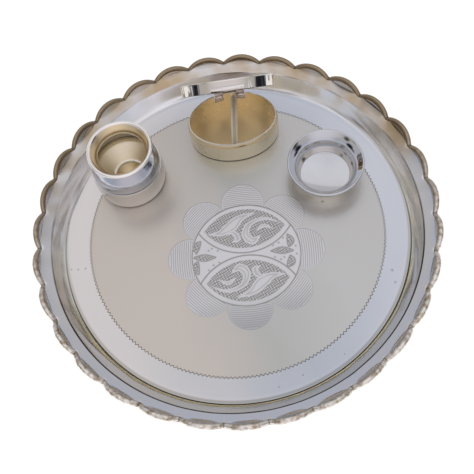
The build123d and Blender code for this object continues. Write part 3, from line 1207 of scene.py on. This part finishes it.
    def build(self) -> list[Piece]:
        """Build and dress the tray's pieces."""
        return [
            Bench.fit(self.build_sheet(), self.finish, Body.TRAY, Slot.POLISHED, "thali_plate"),
            Bench.fit(self.build_wriggle(), self.wriggle_finish, Body.TRAY, Slot.POLISHED)]


@dataclass(frozen=True)
class Scroll:
    """A curling leaf of the engraving: places along its spine and its half width at each, in millimetres."""

    spine: tuple[Point, ...]
    half_widths: tuple[float, ...]
    least_width: float = 0.15

    def inside(self, u: np.ndarray, v: np.ndarray, samples: int = 60) -> np.ndarray:
        """Depth inside the leaf, negative outside it.

        Args:
            u: places across the medallion.
            v: places up the medallion.
            samples: discs along the spine.

        Returns:
            The depth at each place, in millimetres.
        """
        knots = np.linspace(0, 1, len(self.spine))
        shares = np.linspace(0, 1, samples)
        widths = rounded(np.stack([knots, self.half_widths], 1), shares)[:, 1]
        best = np.full(u.shape, FAR_OUTSIDE)
        for (x, y), width in zip(rounded(np.array(self.spine), shares), np.maximum(widths, self.least_width)):
            best = np.maximum(best, width - np.hypot(u - x, v - y))
        return best


@dataclass
class Medallion:
    """Bright-cut flower on the floor: a ring with two pointed ovals of scrolls, and eight hatched petals.

    Sizes in millimetres; depths and tarnish from 0 to 1.
    """

    centre_x: float = 4.0
    centre_y: float = -18.8
    turn_deg: float = -7.0
    floor: float = 1.0
    grid_steps: int = 380
    grid_margin: float = 1.5
    trim_slack: float = 1e-4
    bottom_drop: float = 0.3
    shade_deg: float = 60.0
    ring_radius: float = 38.2
    ring_inset: float = 0.4
    plate_rise: float = 0.16
    plate_edge: float = 0.4
    cut: float = 0.1
    line_width: float = 0.45
    sunk: float = -0.12
    petals: int = 8
    petal_radius: float = 15.6
    petal_reach: float = 55.0
    petal_rise: float = 0.12
    petal_flare: float = 0.1
    petal_edge: float = 0.6
    petal_line_inset: float = 0.5
    petal_line_depth: float = 0.4
    hatch_pitch: float = 1.5
    hatch_bow: float = 55.0
    hatch_inset: float = 0.8
    hatch_depth: float = 0.7
    oval_shift: float = 1.0
    band_width: float = 3.4
    band_crown: float = 0.05
    ground_edge: float = 0.5
    stipple_pitch: float = 1.6
    stipple_way: Point = (0.87, 0.5)
    stipple_sway: float = 0.3
    sway_along: Point = (0.5, 0.9)
    sway_across: Point = (0.8, -0.6)
    bead_middle: float = 0.25
    bead_swing: float = 0.6
    leaf_rise: float = 0.08
    leaf_edge: float = 0.5
    leaf_shoulder: float = 2.0
    vein_inset: float = 1.6
    vein_depth: float = 0.5
    sprig_inset: float = 0.3
    sprig_edge: float = 0.4
    left_shift: float = 4.0
    dot_radius: float = 0.65
    dot_tarnish: float = 0.9
    finish: EngravedNickelSilver = EngravedNickelSilver(
        name="nickel_silver_bright_cut", bright="#E4E3E6", tarnished="#DCDBDC", roughness=0.36,
        roughness_spread=0.03)
    scrolls: tuple[Scroll, ...] = (
        Scroll(((-26.0, 17.2), (-17.0, 17.6), (-9.0, 22.0), (-2.0, 28.0), (8.0, 31.2)),
               (0.2, 2.4, 4.2, 2.6, 0.3)),
        Scroll(((-15.0, 16.0), (-8.0, 17.0), (-5.0, 12.0), (-9.0, 9.8)), (0.3, 1.6, 2.0, 0.4)),
        Scroll(((26.0, 21.4), (15.0, 25.8), (4.0, 22.6), (0.6, 14.6), (5.0, 9.6), (10.0, 12.4)),
               (0.2, 1.3, 2.0, 2.8, 2.8, 0.8)),
        Scroll(((20.0, 17.6), (14.0, 20.2), (9.0, 17.6)), (0.2, 1.5, 0.6)),
    )
    sprigs: tuple[Scroll, ...] = (
        Scroll(((17.5, 0.4), (25.0, 0.2), (32.0, -0.6)), (0.2, 2.4, 0.5)),
        Scroll(((30.0, 3.0), (31.4, 7.0), (29.8, 11.6)), (0.5, 2.3, 0.4)),
        Scroll(((30.4, -4.6), (30.6, -8.6), (27.6, -12.2)), (0.5, 2.5, 0.4)),
    )
    dots: tuple[Point, ...] = (
        (19.0, 4.6), (23.0, 6.2), (26.4, 9.6), (19.6, -4.4), (23.6, -6.4), (26.0, -5.0), (34.6, 2.6),
        (34.8, -3.4))

    def stipple(self, u: np.ndarray, v: np.ndarray) -> np.ndarray:
        """Rows of small punched beads.

        Args:
            u: places across the medallion, in millimetres.
            v: places up the medallion, in millimetres.

        Returns:
            The bead's level at each place, from 0 between beads to 1 on top.
        """
        wave = 2 * math.pi / self.stipple_pitch
        straight, slant = self.stipple_way
        along_sway = np.sin(self.sway_along[0] * u + self.sway_along[1] * v)
        across_sway = np.sin(self.sway_across[0] * u + self.sway_across[1] * v)
        along = straight * u + slant * v + self.stipple_sway * along_sway
        across = straight * v - slant * u + self.stipple_sway * across_sway
        beads = np.cos(wave * along) + np.cos(wave * across)
        return np.clip(self.bead_middle + self.bead_swing * beads, 0, 1)

    def groove(self, gap: np.ndarray) -> np.ndarray:
        """Share of a cut line's depth, from how far each place lies from its middle."""
        return np.exp(-(gap / self.line_width)**2)

    def oval_depth(self, u: np.ndarray, v: np.ndarray) -> np.ndarray:
        """Depth inside the nearer of the two pointed ovals.

        Args:
            u: places across the medallion, in millimetres.
            v: places up the medallion, in millimetres.

        Returns:
            The depth at each place, in millimetres, negative outside both.
        """
        ring = self.ring_radius - np.hypot(u, v)
        shift = self.ring_radius + self.oval_shift
        upper = np.minimum(ring, self.ring_radius - np.hypot(u, v - shift))
        lower = np.minimum(ring, self.ring_radius - np.hypot(u, v + shift))
        return np.maximum(upper, lower)

    def petal_field(self, u: np.ndarray, v: np.ndarray) -> tuple[np.ndarray, np.ndarray]:
        """Depth inside the petals and the share of the cuts on their tops.

        Args:
            u: places across the medallion.
            v: places up the medallion.

        Returns:
            The depth, negative outside every petal, and the cuts, from 0 to 1.
        """
        depth = np.full(u.shape, FAR_OUTSIDE)
        cuts = np.zeros(u.shape)
        middle = self.petal_reach - self.petal_radius
        for index in (*range(1, self.petals, 2), *range(0, self.petals, 2)):
            angle = 2 * math.pi * index / self.petals + math.pi / 2
            along = u * math.cos(angle) + v * math.sin(angle)
            across = v * math.cos(angle) - u * math.sin(angle)
            inside = self.petal_radius - np.hypot(along - middle, across)
            arcs = np.hypot(along + self.hatch_bow, across) - self.hatch_bow
            lines = (0.5 + 0.5 * np.cos(2 * math.pi * arcs / self.hatch_pitch))**2
            hatch = self.hatch_depth * lines * fade(inside - self.hatch_inset, self.hatch_inset)
            border = self.petal_line_depth * self.groove(inside - self.petal_line_inset)
            own = inside > 0
            cuts = np.where(own, np.maximum(hatch, border), cuts)
            depth = np.where(own, inside, np.maximum(depth, inside))
        return depth, cuts

    def plate_field(self, u: np.ndarray, v: np.ndarray) -> tuple[np.ndarray, np.ndarray]:
        """Height and tarnish of the round plate: ovals, stippled ground, leaves, sprigs and dots.

        Args:
            u: places across the medallion.
            v: places up the medallion.

        Returns:
            The height at each place over the tray's floor and the tarnish, from 0 to 1.
        """
        oval = self.oval_depth(u, v)
        beads = self.stipple(u, v)
        ground = fade(oval - self.band_width, self.ground_edge)
        crown = np.clip(oval / self.band_width, 0, 1)
        ring = self.ring_radius - np.hypot(u, v)
        cuts = np.maximum(self.groove(ring - self.ring_inset), self.groove(oval))
        cuts = np.maximum(cuts, ground * (1 - beads))
        height = self.plate_rise + self.band_crown * 4 * crown * (1 - crown) - self.cut * cuts
        panel = fade(-oval, self.plate_edge)
        for scroll in self.scrolls:
            for side in (1, -1):
                leaf = scroll.inside(side * u, side * v)
                on_leaf = fade(leaf + self.leaf_edge / 2, self.leaf_edge) * ground
                vein = self.vein_depth * self.groove(leaf - self.vein_inset)
                raised = self.plate_rise + self.leaf_rise * fade(leaf, self.leaf_shoulder) - self.cut * vein
                cuts = cuts * (1 - on_leaf) + on_leaf * vein
                height = height * (1 - on_leaf) + on_leaf * raised
        for sprig in self.sprigs:
            for side in (1, -1):
                leaf = sprig.inside(side * u - self.left_shift * (side < 0), side * v)
                beaded = fade(leaf - self.sprig_inset, self.sprig_edge) * (1 - beads)
                inner = np.maximum(self.groove(leaf), beaded) * panel
                cuts = np.maximum(cuts, inner)
                height = height - self.cut * inner
        for x, y in self.dots:
            for side in (1, -1):
                gap = np.hypot(side * u - x, side * v - y)
                dot = np.exp(-(gap / self.dot_radius)**2) * panel
                cuts = np.maximum(cuts, self.dot_tarnish * dot)
                height = height - self.cut * dot
        return height, cuts

    def surface(self, u: np.ndarray, v: np.ndarray) -> tuple[np.ndarray, np.ndarray]:
        """Height of the engraving over the tray's floor and the tarnish in its cuts.

        Args:
            u: places across the medallion, in millimetres.
            v: places up the medallion, in millimetres.

        Returns:
            The height at each place, in millimetres, and the tarnish, from 0 to 1.
        """
        height, cuts = self.plate_field(u, v)
        depth, petal_cuts = self.petal_field(u, v)
        edge = fade(depth + self.petal_flare, self.petal_edge)
        low = self.sunk + (self.petal_rise - self.cut * petal_cuts - self.sunk) * edge
        ring = self.ring_radius - np.hypot(u, v)
        on_plate = fade(ring + self.plate_edge / 2, self.plate_edge)
        height = low * (1 - on_plate) + height * on_plate
        cuts = petal_cuts * (1 - on_plate) + cuts * on_plate
        return height, np.clip(cuts, 0, 1)

    def build(self) -> list[Piece]:
        """Raise the engraving from a fine grid, trim it to its flower and close it below.

        Returns:
            The one piece.
        """
        Bench.clear()
        span = 2 * (self.petal_reach + self.grid_margin)
        bpy.ops.mesh.primitive_grid_add(
            x_subdivisions=self.grid_steps, y_subdivisions=self.grid_steps, size=span * MM)
        obj = Bench.named("thali_medallion")
        points = Bench.coordinates(obj)
        u = points[:, 0] / MM
        v = points[:, 1] / MM
        height, tarnish = self.surface(u, v)
        turn = math.radians(self.turn_deg)
        points[:, 0] = (self.centre_x + u * math.cos(turn) - v * math.sin(turn)) * MM
        points[:, 1] = (self.centre_y + u * math.sin(turn) + v * math.cos(turn)) * MM
        points[:, 2] = (self.floor + height) * MM
        Bench.place_points(obj, points)
        Bench.mark(obj, self.finish.depth_attribute, tarnish)
        self.trim(obj, height <= self.sunk + self.trim_slack)
        Bench.smooth(obj, self.shade_deg)
        return [Bench.fit(obj, self.finish, Body.TRAY, Slot.POLISHED)]

    def trim(self, obj: Piece, outside: np.ndarray) -> None:
        """Delete the grid outside the flower and give the rest a bottom inside the sheet.

        Args:
            obj: the raised grid.
            outside: whether each point lies outside the flower.
        """
        for parts in (obj.data.polygons, obj.data.edges):
            parts.foreach_set("select", np.zeros(len(parts), bool))
        obj.data.vertices.foreach_set("select", outside)
        bpy.ops.object.mode_set(mode="EDIT")
        bpy.ops.mesh.select_mode(type="VERT")
        bpy.ops.mesh.delete(type="VERT")
        bpy.ops.mesh.select_all(action="DESELECT")
        bpy.ops.mesh.select_non_manifold(extend=False)
        drop = Vector((0.0, 0.0, -self.bottom_drop * MM))
        bpy.ops.mesh.extrude_region_move(TRANSFORM_OT_translate={"value": drop})
        bpy.ops.mesh.edge_face_add()
        bpy.ops.mesh.select_all(action="SELECT")
        bpy.ops.mesh.normals_make_consistent(inside=False)
        bpy.ops.object.mode_set(mode="OBJECT")


@dataclass
class Kalash:
    """The pot: a lower shell, and an upper shell with shoulder, neck and mouth. Sizes in millimetres."""

    base_radius: float = 25.0
    base_corner: float = 2.2
    belly_radius: float = 25.6
    seam_radius: float = 25.2
    seam_height: float = 19.6
    seam_round: float = 0.2
    nest_depth: float = 2.5
    nest_clearance: float = 0.05
    sheet: float = 0.8
    height: float = 41.7
    shoulder: tuple[Point, ...] = ((24.1, 23.3), (22.5, 27.5), (19.7, 31.4))
    neck: Point = (17.6, 34.4)
    throat: Point = (18.4, 37.2)
    mouth_radius: float = 23.0
    lip_radius: float = 1.4
    lip_turn_deg: Point = (-125.0, 165.0)
    inside: tuple[Point, ...] = ((3.0, 1.0), (8.0, 3.2), (14.0, 7.4), (20.0, 12.2), (23.2, 15.2))
    floor_radius: float = 11.5
    floor_bead: float = 0.7
    corner_steps: int = 5
    lip_steps: int = 12
    inside_steps: int = 66
    steps: int = 128
    # Lower shell: the dark band at the foot is a painted contact shadow, and the darker gold band low inside
    # is a painted shade.
    lower_finish: VesselNickelSilver = VesselNickelSilver(
        "nickel_silver_pot_lower_shell", "#E2E1DE", "#DAD6CF", 0.2, rub_height_mm=0.001,
        ripple_height_mm=0.01, inside_roughness=0.34, lip_radius_mm=24.5,
        bands=(Band(UPRIGHT, 0.9, 1.5, "#6E6759"),), inner_bands=(Band(UPRIGHT, 1.5, 6.4, "#D8C49A"),))
    # Upper shell: its darker, bluer colour than the lower shell's is a painted shade; the dark band at the
    # seam is a painted shadow, the white bands on the lip and in the throat are painted highlights, and the
    # gold inside the mouth is painted warm light.
    upper_finish: VesselNickelSilver = VesselNickelSilver(
        "nickel_silver_pot_spun", "#CDCED3", "#C4C4C8", 0.14, rub_height_mm=0.001, inside_roughness=0.34,
        bands=(Band(UPRIGHT, 20.4, 21.1, "#4A463F"), Band(UPRIGHT, 39.7, 60.0, "#FFFAF5")),
        inner_bands=(Band(UPRIGHT, 36.6, 60.0, "#F0DAB2"), Band(UPRIGHT, 34.2, 36.6, "#FFFFFF")))

    def lower_outline(self) -> list[Point]:
        """Outline of the lower shell, rounded inside to a floor with a pressed ring.

        Returns:
            Radius and height of each point, in millimetres.
        """
        flat = self.base_radius - self.base_corner
        belly = self.seam_height / 2
        top = self.seam_radius - self.sheet
        nest = self.seam_height - self.nest_depth
        outline = [(0.0, 0.0)]
        outline += arc((flat, self.base_corner), self.base_corner, DOWN_DEG, 0, self.corner_steps)
        rim = (self.seam_radius, self.seam_height - self.seam_round)
        outline += bow(outline[-1], (self.belly_radius, belly), rim)[1:]
        outline += [
            (self.seam_radius - self.seam_round, self.seam_height), (top, self.seam_height), (top, nest)]
        bowl = np.array(bow((0.0, self.sheet), *self.inside, (top - self.sheet, nest)))
        radii = np.linspace(top - self.sheet, 0.0, self.inside_steps + 1)
        bead = self.floor_bead * np.clip(1 - ((radii - self.floor_radius) / self.floor_bead)**2, 0, 1)
        heights = np.interp(radii, bowl[:, 0], bowl[:, 1]) + bead
        return outline + [(float(r), float(z)) for r, z in zip(radii, heights)]

    def upper_outline(self) -> list[Point]:
        """Outline of the upper shell with its rolled lip.

        Returns:
            Radius and height of each point, in millimetres.
        """
        seam = self.seam_radius - self.sheet - self.nest_clearance
        foot = self.seam_height - self.nest_depth
        lip_middle = (self.mouth_radius - self.lip_radius, self.height - self.lip_radius)
        lip = arc(lip_middle, self.lip_radius, *self.lip_turn_deg, self.lip_steps)
        inside = [(r - self.sheet, z - self.sheet / 2) for r, z in (*self.shoulder, self.neck)]
        throat = (self.throat[0] - self.sheet, self.throat[1] + self.sheet / 2)
        outline = [(seam, foot)]
        outline += bow((seam, self.seam_height), *self.shoulder, self.neck, self.throat, lip[0]) + lip[1:]
        outline += bow(lip[-1], throat, *inside[::-1], (seam - self.sheet, self.seam_height))[1:]
        return outline + [(seam - self.sheet, foot), (seam, foot)]

    def build(self) -> list[Piece]:
        """Turn and dress the two shells.

        Returns:
            The two pieces.
        """
        pieces = []
        for name, node, outline, finish in (
                ("kalash_lower_shell", "kalash_lower_body", self.lower_outline(), self.lower_finish),
                ("kalash_upper_shell", "kalash_upper_body", self.upper_outline(), self.upper_finish)):
            obj = Bench.turned(name, outline, self.steps, node)
            pieces.append(Bench.fit(obj, finish.on_axis(node), Body.KALASH, Slot.POLISHED, node))
        return pieces


@dataclass
class Katori:
    """The bowl: flat floor, flaring side and rolled lip. Sizes in millimetres."""

    foot_radius: float = 18.7
    foot_corner: float = 1.4
    side: tuple[Point, ...] = ((19.1, 5.0), (19.9, 8.8), (21.25, 12.2), (23.2, 14.8))
    mouth_radius: float = 26.9
    height: float = 17.9
    lip_radius: float = 0.8
    lip_turn_deg: Point = (-120.0, 150.0)
    sheet: float = 0.8
    corner_steps: int = 4
    inner_corner_steps: int = 3
    lip_steps: int = 10
    steps: int = 128
    finish: VesselNickelSilver = VesselNickelSilver(
        "nickel_silver_bowl_spun", "#FBF6EC", "#F4ECDE", 0.12, rub_height_mm=0.0006, mouth_radius_mm=17.6,
        lip_radius_mm=25.6, ring_half_mm=0.0, inside_bright="#DADBDF", inside_tarnished="#D2D3D6",
        inside_roughness=0.06, bands=(Band(UPRIGHT, 17.2, 40.0, "#D6D7DB"),),
        inner_bands=(Band(UPRIGHT, 2.3, 9.0, "#F4EFE8"),))

    def outline(self) -> list[Point]:
        """Outline of the bowl's sheet.

        Returns:
            Radius and height of each point, in millimetres.
        """
        bend = (self.foot_radius - self.foot_corner, self.foot_corner)
        lip_middle = (self.mouth_radius - self.lip_radius, self.height - self.lip_radius)
        lip = arc(lip_middle, self.lip_radius, *self.lip_turn_deg, self.lip_steps)
        inside = [(r - self.sheet, z + self.sheet / 4) for r, z in self.side]
        points = [(0.0, 0.0)] + arc(bend, self.foot_corner, DOWN_DEG, 0, self.corner_steps)
        points += bow(points[-1], *self.side, lip[0])[1:] + lip[1:]
        points += bow(lip[-1], *inside[::-1], (self.foot_radius - self.sheet, self.foot_corner))[1:]
        points += arc(bend, self.foot_corner - self.sheet, 0, DOWN_DEG, self.inner_corner_steps)[1:]
        return points + [(0.0, self.sheet)]

    def build(self) -> list[Piece]:
        """Turn and dress the bowl.

        Returns:
            The one piece.
        """
        node = "katori_bowl"
        obj = Bench.turned("katori_sheet", self.outline(), self.steps, node)
        return [Bench.fit(obj, self.finish.on_axis(node), Body.KATORI, Slot.POLISHED, node)]


@dataclass
class KumkumBox:
    """The oval box with its divider, hinge and lid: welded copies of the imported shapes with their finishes.

    Sizes in millimetres.
    """

    divider_turn_deg: float = -9.5
    divider_edge: float = 1.0
    divider_middle_tone: str = "#D6CAB4"
    # Painted shade along the thumb lip's lower and upper long edges.
    lip_across: Spot = (0.150, 0.901, 0.408)
    lip_low_edge: float = 0.7
    lip_low_shade: str = "#5E5248"
    lip_high_edge: float = 0.45
    lip_high_shade: str = "#857A6E"
    beyond: float = 1.0
    # Painted shadows: at the foot of the box's wall, and under the step below the collar.
    foot_shade: Band = Band(UPRIGHT, 0.9, 1.9, "#5A5346")
    step_shade: Band = Band(UPRIGHT, 17.3, 17.6, "#C4B9A4")
    # A painted highlight along the collar's rolled top edge.
    collar_highlight_edge: float = 0.4
    above_collar: float = 30.0
    collar_highlight: str = "#FFFBF0"
    rub_height: float = 0.001
    mirror_rub_height: float = 0.0006
    lid_ripple_height: float = 0.01

    def divider_band(self) -> Band:
        """The darker middle of the divider's top, between its two bright folds.

        Returns:
            The strip.
        """
        turn = math.radians(self.divider_turn_deg)
        across = (math.cos(turn), math.sin(turn), 0.0)
        low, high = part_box("box_divider")
        middle = Vector(across).dot((Vector(low) + Vector(high)) / 2) / MM
        return Band(across, middle - self.divider_edge, middle + self.divider_edge, self.divider_middle_tone)

    def lip_shade_bands(self, lip: Piece) -> tuple[Band, Band]:
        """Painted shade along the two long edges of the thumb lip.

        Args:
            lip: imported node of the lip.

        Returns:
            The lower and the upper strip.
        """
        reach = Bench.coordinates(lip) @ np.array(self.lip_across) / MM
        low = float(reach.min())
        high = float(reach.max())
        return (
            Band(self.lip_across, low - self.beyond, low + self.lip_low_edge, self.lip_low_shade),
            Band(self.lip_across, high - self.lip_high_edge, high + self.beyond, self.lip_high_shade))

    def finishes(self, lip: Piece) -> dict[str, tuple[Body, Slot, NickelSilver]]:
        """Body, slot and finish of each piece.

        Args:
            lip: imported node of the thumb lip.

        Returns:
            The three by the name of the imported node.
        """
        # Sheet that was wiped but hardly buffed: dull in the box, a brighter mirror on the lid.
        # The warm gold inside the box, strongest on the floor, is painted warm light for light that bounces
        # inside it.
        metal = partial(NickelSilver, rub_height_mm=self.rub_height)
        collar_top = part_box("box_collar")[1][2] / MM
        collar_highlight_edge = Band(UPRIGHT, collar_top - self.collar_highlight_edge, self.above_collar, self.collar_highlight)
        return {
            "box_floor": (Body.BOX, Slot.SATIN, metal(
                "nickel_silver_box_floor", "#F1DBB0", "#E7CC9B", 0.36)),
            "box_wall": (Body.BOX, Slot.SATIN, metal(
                "nickel_silver_box_wall", "#F0E6CD", "#E6D9BA", 0.3,
                bands=(self.foot_shade, self.step_shade))),
            "box_collar": (Body.BOX, Slot.SATIN, metal(
                "nickel_silver_box_collar", "#FDF2DC", "#F6E6C8", 0.28, bands=(collar_highlight_edge,))),
            "box_divider": (Body.BOX, Slot.SATIN, metal(
                "nickel_silver_box_divider", "#F8F3E8", "#F2EADA", 0.24, bands=(self.divider_band(),))),
            # The leaves' pinkish and tan tones are painted shade and warm reflection from inside the box.
            "box_hinge_leaf": (Body.BOX, Slot.SATIN, metal(
                "nickel_silver_hinge_leaf", "#E8DAD4", "#D8C6BC", 0.3)),
            # Steel wire: darker and greyer than the sheet, with deeper marks from the drawing die.
            "hinge_pin": (Body.BOX, Slot.STEEL, NickelSilver("drawn_steel_pin", "#A8A8A6", "#8E8C88", 0.35)),
            "lid_hinge_leaf": (Body.LID, Slot.SATIN, metal(
                "nickel_silver_lid_leaf", "#D2C0AC", "#C4AE96", 0.26)),
            "lid_skirt": (Body.LID, Slot.POLISHED, metal(
                "nickel_silver_lid_skirt", "#E4DFD8", "#DDD6CE", 0.06, rub_height_mm=self.mirror_rub_height)),
            "lid_plate": (Body.LID, Slot.POLISHED, metal(
                "nickel_silver_lid_plate", "#ECE9E4", "#E4DFD7", 0.12,
                ripple_height_mm=self.lid_ripple_height)),
            "lid_thumb_lip": (Body.LID, Slot.POLISHED, metal(
                "nickel_silver_thumb_lip", "#FAF6F3", "#F2EBE6", 0.1, bands=self.lip_shade_bands(lip))),
        }

    def build(self, nodes: dict[str, Piece]) -> list[Piece]:
        """Weld and dress the pieces.

        Args:
            nodes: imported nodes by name.

        Returns:
            The new pieces.
        """
        return [
            Bench.fit(Bench.welded_copy(nodes[node], node + "_sheet"), finish, body, slot, node)
            for node, (body, slot, finish) in self.finishes(nodes["lid_thumb_lip"]).items()]


@dataclass(frozen=True)
class RoomPatch:
    """A thing in the room that the polished metal mirrors."""

    azimuth_deg: float
    elevation_deg: float
    radius_deg: float
    colour: str
    soft_deg: float = 3.0

    def direction(self) -> Vector:
        """Direction of the patch; azimuth 0 is -Y and 90 is +X.

        Returns:
            The unit vector towards it.
        """
        azimuth = math.radians(self.azimuth_deg)
        elevation = math.radians(self.elevation_deg)
        level = math.cos(elevation)
        return Vector((math.sin(azimuth) * level, -math.cos(azimuth) * level, math.sin(elevation)))


@dataclass
class Studio:
    """Pale floor, soft room light and the camera. Lengths in millimetres, angles in degrees."""

    picture_px: float = 474.0
    focal_px: float = 680.0
    sensor: float = 36.0
    distance: float = 476.6
    elevation: float = 65.41
    roll: float = -11.86
    target: Spot = (0.17, -4.78, 1.0)
    floor_radius: float = 9000.0
    floor_corners: int = 96
    floor_albedo: float = 0.3
    floor_glow: float = 0.86
    paper: str = "#E6E6E6"
    ceiling_size: float = 2600.0
    ceiling_height: float = 1900.0
    ceiling_back: float = 200.0
    ceiling_watts: float = 3.0
    room: Stops = (
        (0.0, "#BEC5D2"), (0.2, "#BCC1CC"), (0.4, "#BCBCC2"), (0.58, "#C1BEBC"), (0.75, "#CAC8C9"),
        (0.87, "#D4D3D8"), (0.95, "#CECED3"), (1.0, "#C2C3C9"))
    patches: tuple[RoomPatch, ...] = (
        RoomPatch(0.0, 8.0, 30.0, "#E0DDE6", 15.0),
        RoomPatch(-6.0, 50.0, 26.0, "#E6E4EA", 12.0),
        RoomPatch(72.0, 20.0, 10.0, "#22242B"),
        RoomPatch(-86.0, 20.0, 10.0, "#22242B"),
        RoomPatch(84.0, 9.0, 8.0, "#22242B"),
        RoomPatch(-98.0, 9.0, 8.0, "#22242B"),
        RoomPatch(-74.0, 42.0, 6.0, "#4E4D45"),
        RoomPatch(76.0, 42.0, 6.0, "#4E4D45"),
    )

    def light_room(self) -> None:
        """Surround the object with a soft room: bluish near the floor, warm walls and a pale ceiling."""
        world = bpy.data.worlds.new("soft_room")
        bpy.context.scene.world = world
        world.use_nodes = True
        tree = world.node_tree
        tree.nodes.clear()
        toward = add_node(tree, "ShaderNodeTexCoord").outputs["Generated"]
        height = add_node(tree, "ShaderNodeSeparateXYZ", {0: toward}).outputs["Z"]
        walls = add_node(tree, "ShaderNodeValToRGB", {"Fac": height}, stops=self.room)
        layers = []
        for patch in self.patches:
            near = add_node(
                tree, "ShaderNodeVectorMath", {0: toward, 1: patch.direction()}, operation="DOT_PRODUCT")
            cover = add_node(tree, "ShaderNodeMapRange", {
                "Value": near.outputs["Value"],
                "From Min": math.cos(math.radians(patch.radius_deg + patch.soft_deg)),
                "From Max": math.cos(math.radians(max(patch.radius_deg - patch.soft_deg, 0.0)))})
            layers.append((cover.outputs["Result"], linear(patch.colour)))
        colour = layered(tree, walls.outputs["Color"], layers)
        glow = add_node(tree, "ShaderNodeBackground", {"Color": colour, "Strength": 1.0})
        output = add_node(tree, "ShaderNodeOutputWorld")
        tree.links.new(glow.outputs["Background"], output.inputs["Surface"])
        place = (0.0, self.ceiling_back * MM, self.ceiling_height * MM)
        bpy.ops.object.light_add(type="AREA", location=place)
        lamp = bpy.context.object
        lamp.name = "ceiling_light"
        lamp.data.shape = "DISK"
        lamp.data.size = self.ceiling_size * MM
        lamp.data.energy = self.ceiling_watts

    def lay_floor(self) -> None:
        """Lay a white floor that keeps a faint shadow; seen directly or mirrored, it glows a little."""
        Bench.clear()
        bpy.ops.mesh.primitive_circle_add(
            vertices=self.floor_corners, radius=self.floor_radius * MM, fill_type="NGON")
        floor = Bench.named("studio_floor")
        material, tree, surface = new_material("white_paper_floor")
        path = add_node(tree, "ShaderNodeLightPath")
        seen = path.outputs["Is Camera Ray"]
        for ray in ("Is Glossy Ray", "Is Transmission Ray"):
            either = add_node(tree, "ShaderNodeMath", {0: seen, 1: path.outputs[ray]}, operation="MAXIMUM")
            seen = either.outputs["Value"]
        shade = add_node(tree, "ShaderNodeBsdfDiffuse", {"Color": (self.floor_albedo,) * 3 + (1.0,)})
        glow = add_node(tree, "ShaderNodeEmission", {"Strength": self.floor_glow})
        white = add_node(tree, "ShaderNodeAddShader", {0: shade.outputs["BSDF"], 1: glow.outputs["Emission"]})
        paper = add_node(tree, "ShaderNodeBsdfDiffuse", {"Color": linear(self.paper)})
        mixed = add_node(tree, "ShaderNodeMixShader", {
            "Fac": seen, 1: paper.outputs["BSDF"], 2: white.outputs["Shader"]})
        tree.links.new(mixed.outputs["Shader"], surface)
        Bench.dress(floor, material)

    def set_camera(self) -> None:
        """Set the camera at the photograph's viewing angle."""
        elevation = math.radians(self.elevation)
        roll = math.radians(self.roll)
        back = Vector((0.0, -math.cos(elevation), math.sin(elevation)))
        level_right = Vector((1.0, 0.0, 0.0))
        level_up = Vector((0.0, math.sin(elevation), math.cos(elevation)))
        right = math.cos(roll) * level_right + math.sin(roll) * level_up
        up = -math.sin(roll) * level_right + math.cos(roll) * level_up
        lens = bpy.data.cameras.new("photo_camera")
        lens.sensor_width = self.sensor
        lens.lens = self.sensor * self.focal_px / self.picture_px
        lens.clip_start = MM
        camera = bpy.data.objects.new("photo_camera", lens)
        bpy.context.scene.collection.objects.link(camera)
        turn = Matrix((right, up, back)).transposed().to_4x4()
        place = (Vector(self.target) + back * self.distance) * MM
        camera.matrix_world = Matrix.Translation(place) @ turn
        bpy.context.scene.camera = camera

    def build(self) -> None:
        """Set up light, floor and camera."""
        self.light_room()
        self.lay_floor()
        self.set_camera()
        bpy.context.scene.view_settings.view_transform = "Standard"


def main() -> None:
    """Load the frame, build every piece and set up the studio."""
    logging.basicConfig(level=logging.INFO, format="%(name)s: %(message)s")
    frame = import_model()
    makers: list[Callable[[], list[Piece]]] = [
        Tray().build,
        Medallion().build,
        Kalash().build,
        Katori().build,
        lambda: KumkumBox().build(frame["nodes"]),
    ]
    for make in makers:
        for piece in make():
            LOG.info("%s: %d faces", piece.name, len(piece.data.polygons))
    Studio().build()


if __name__ == "__main__":
    main()
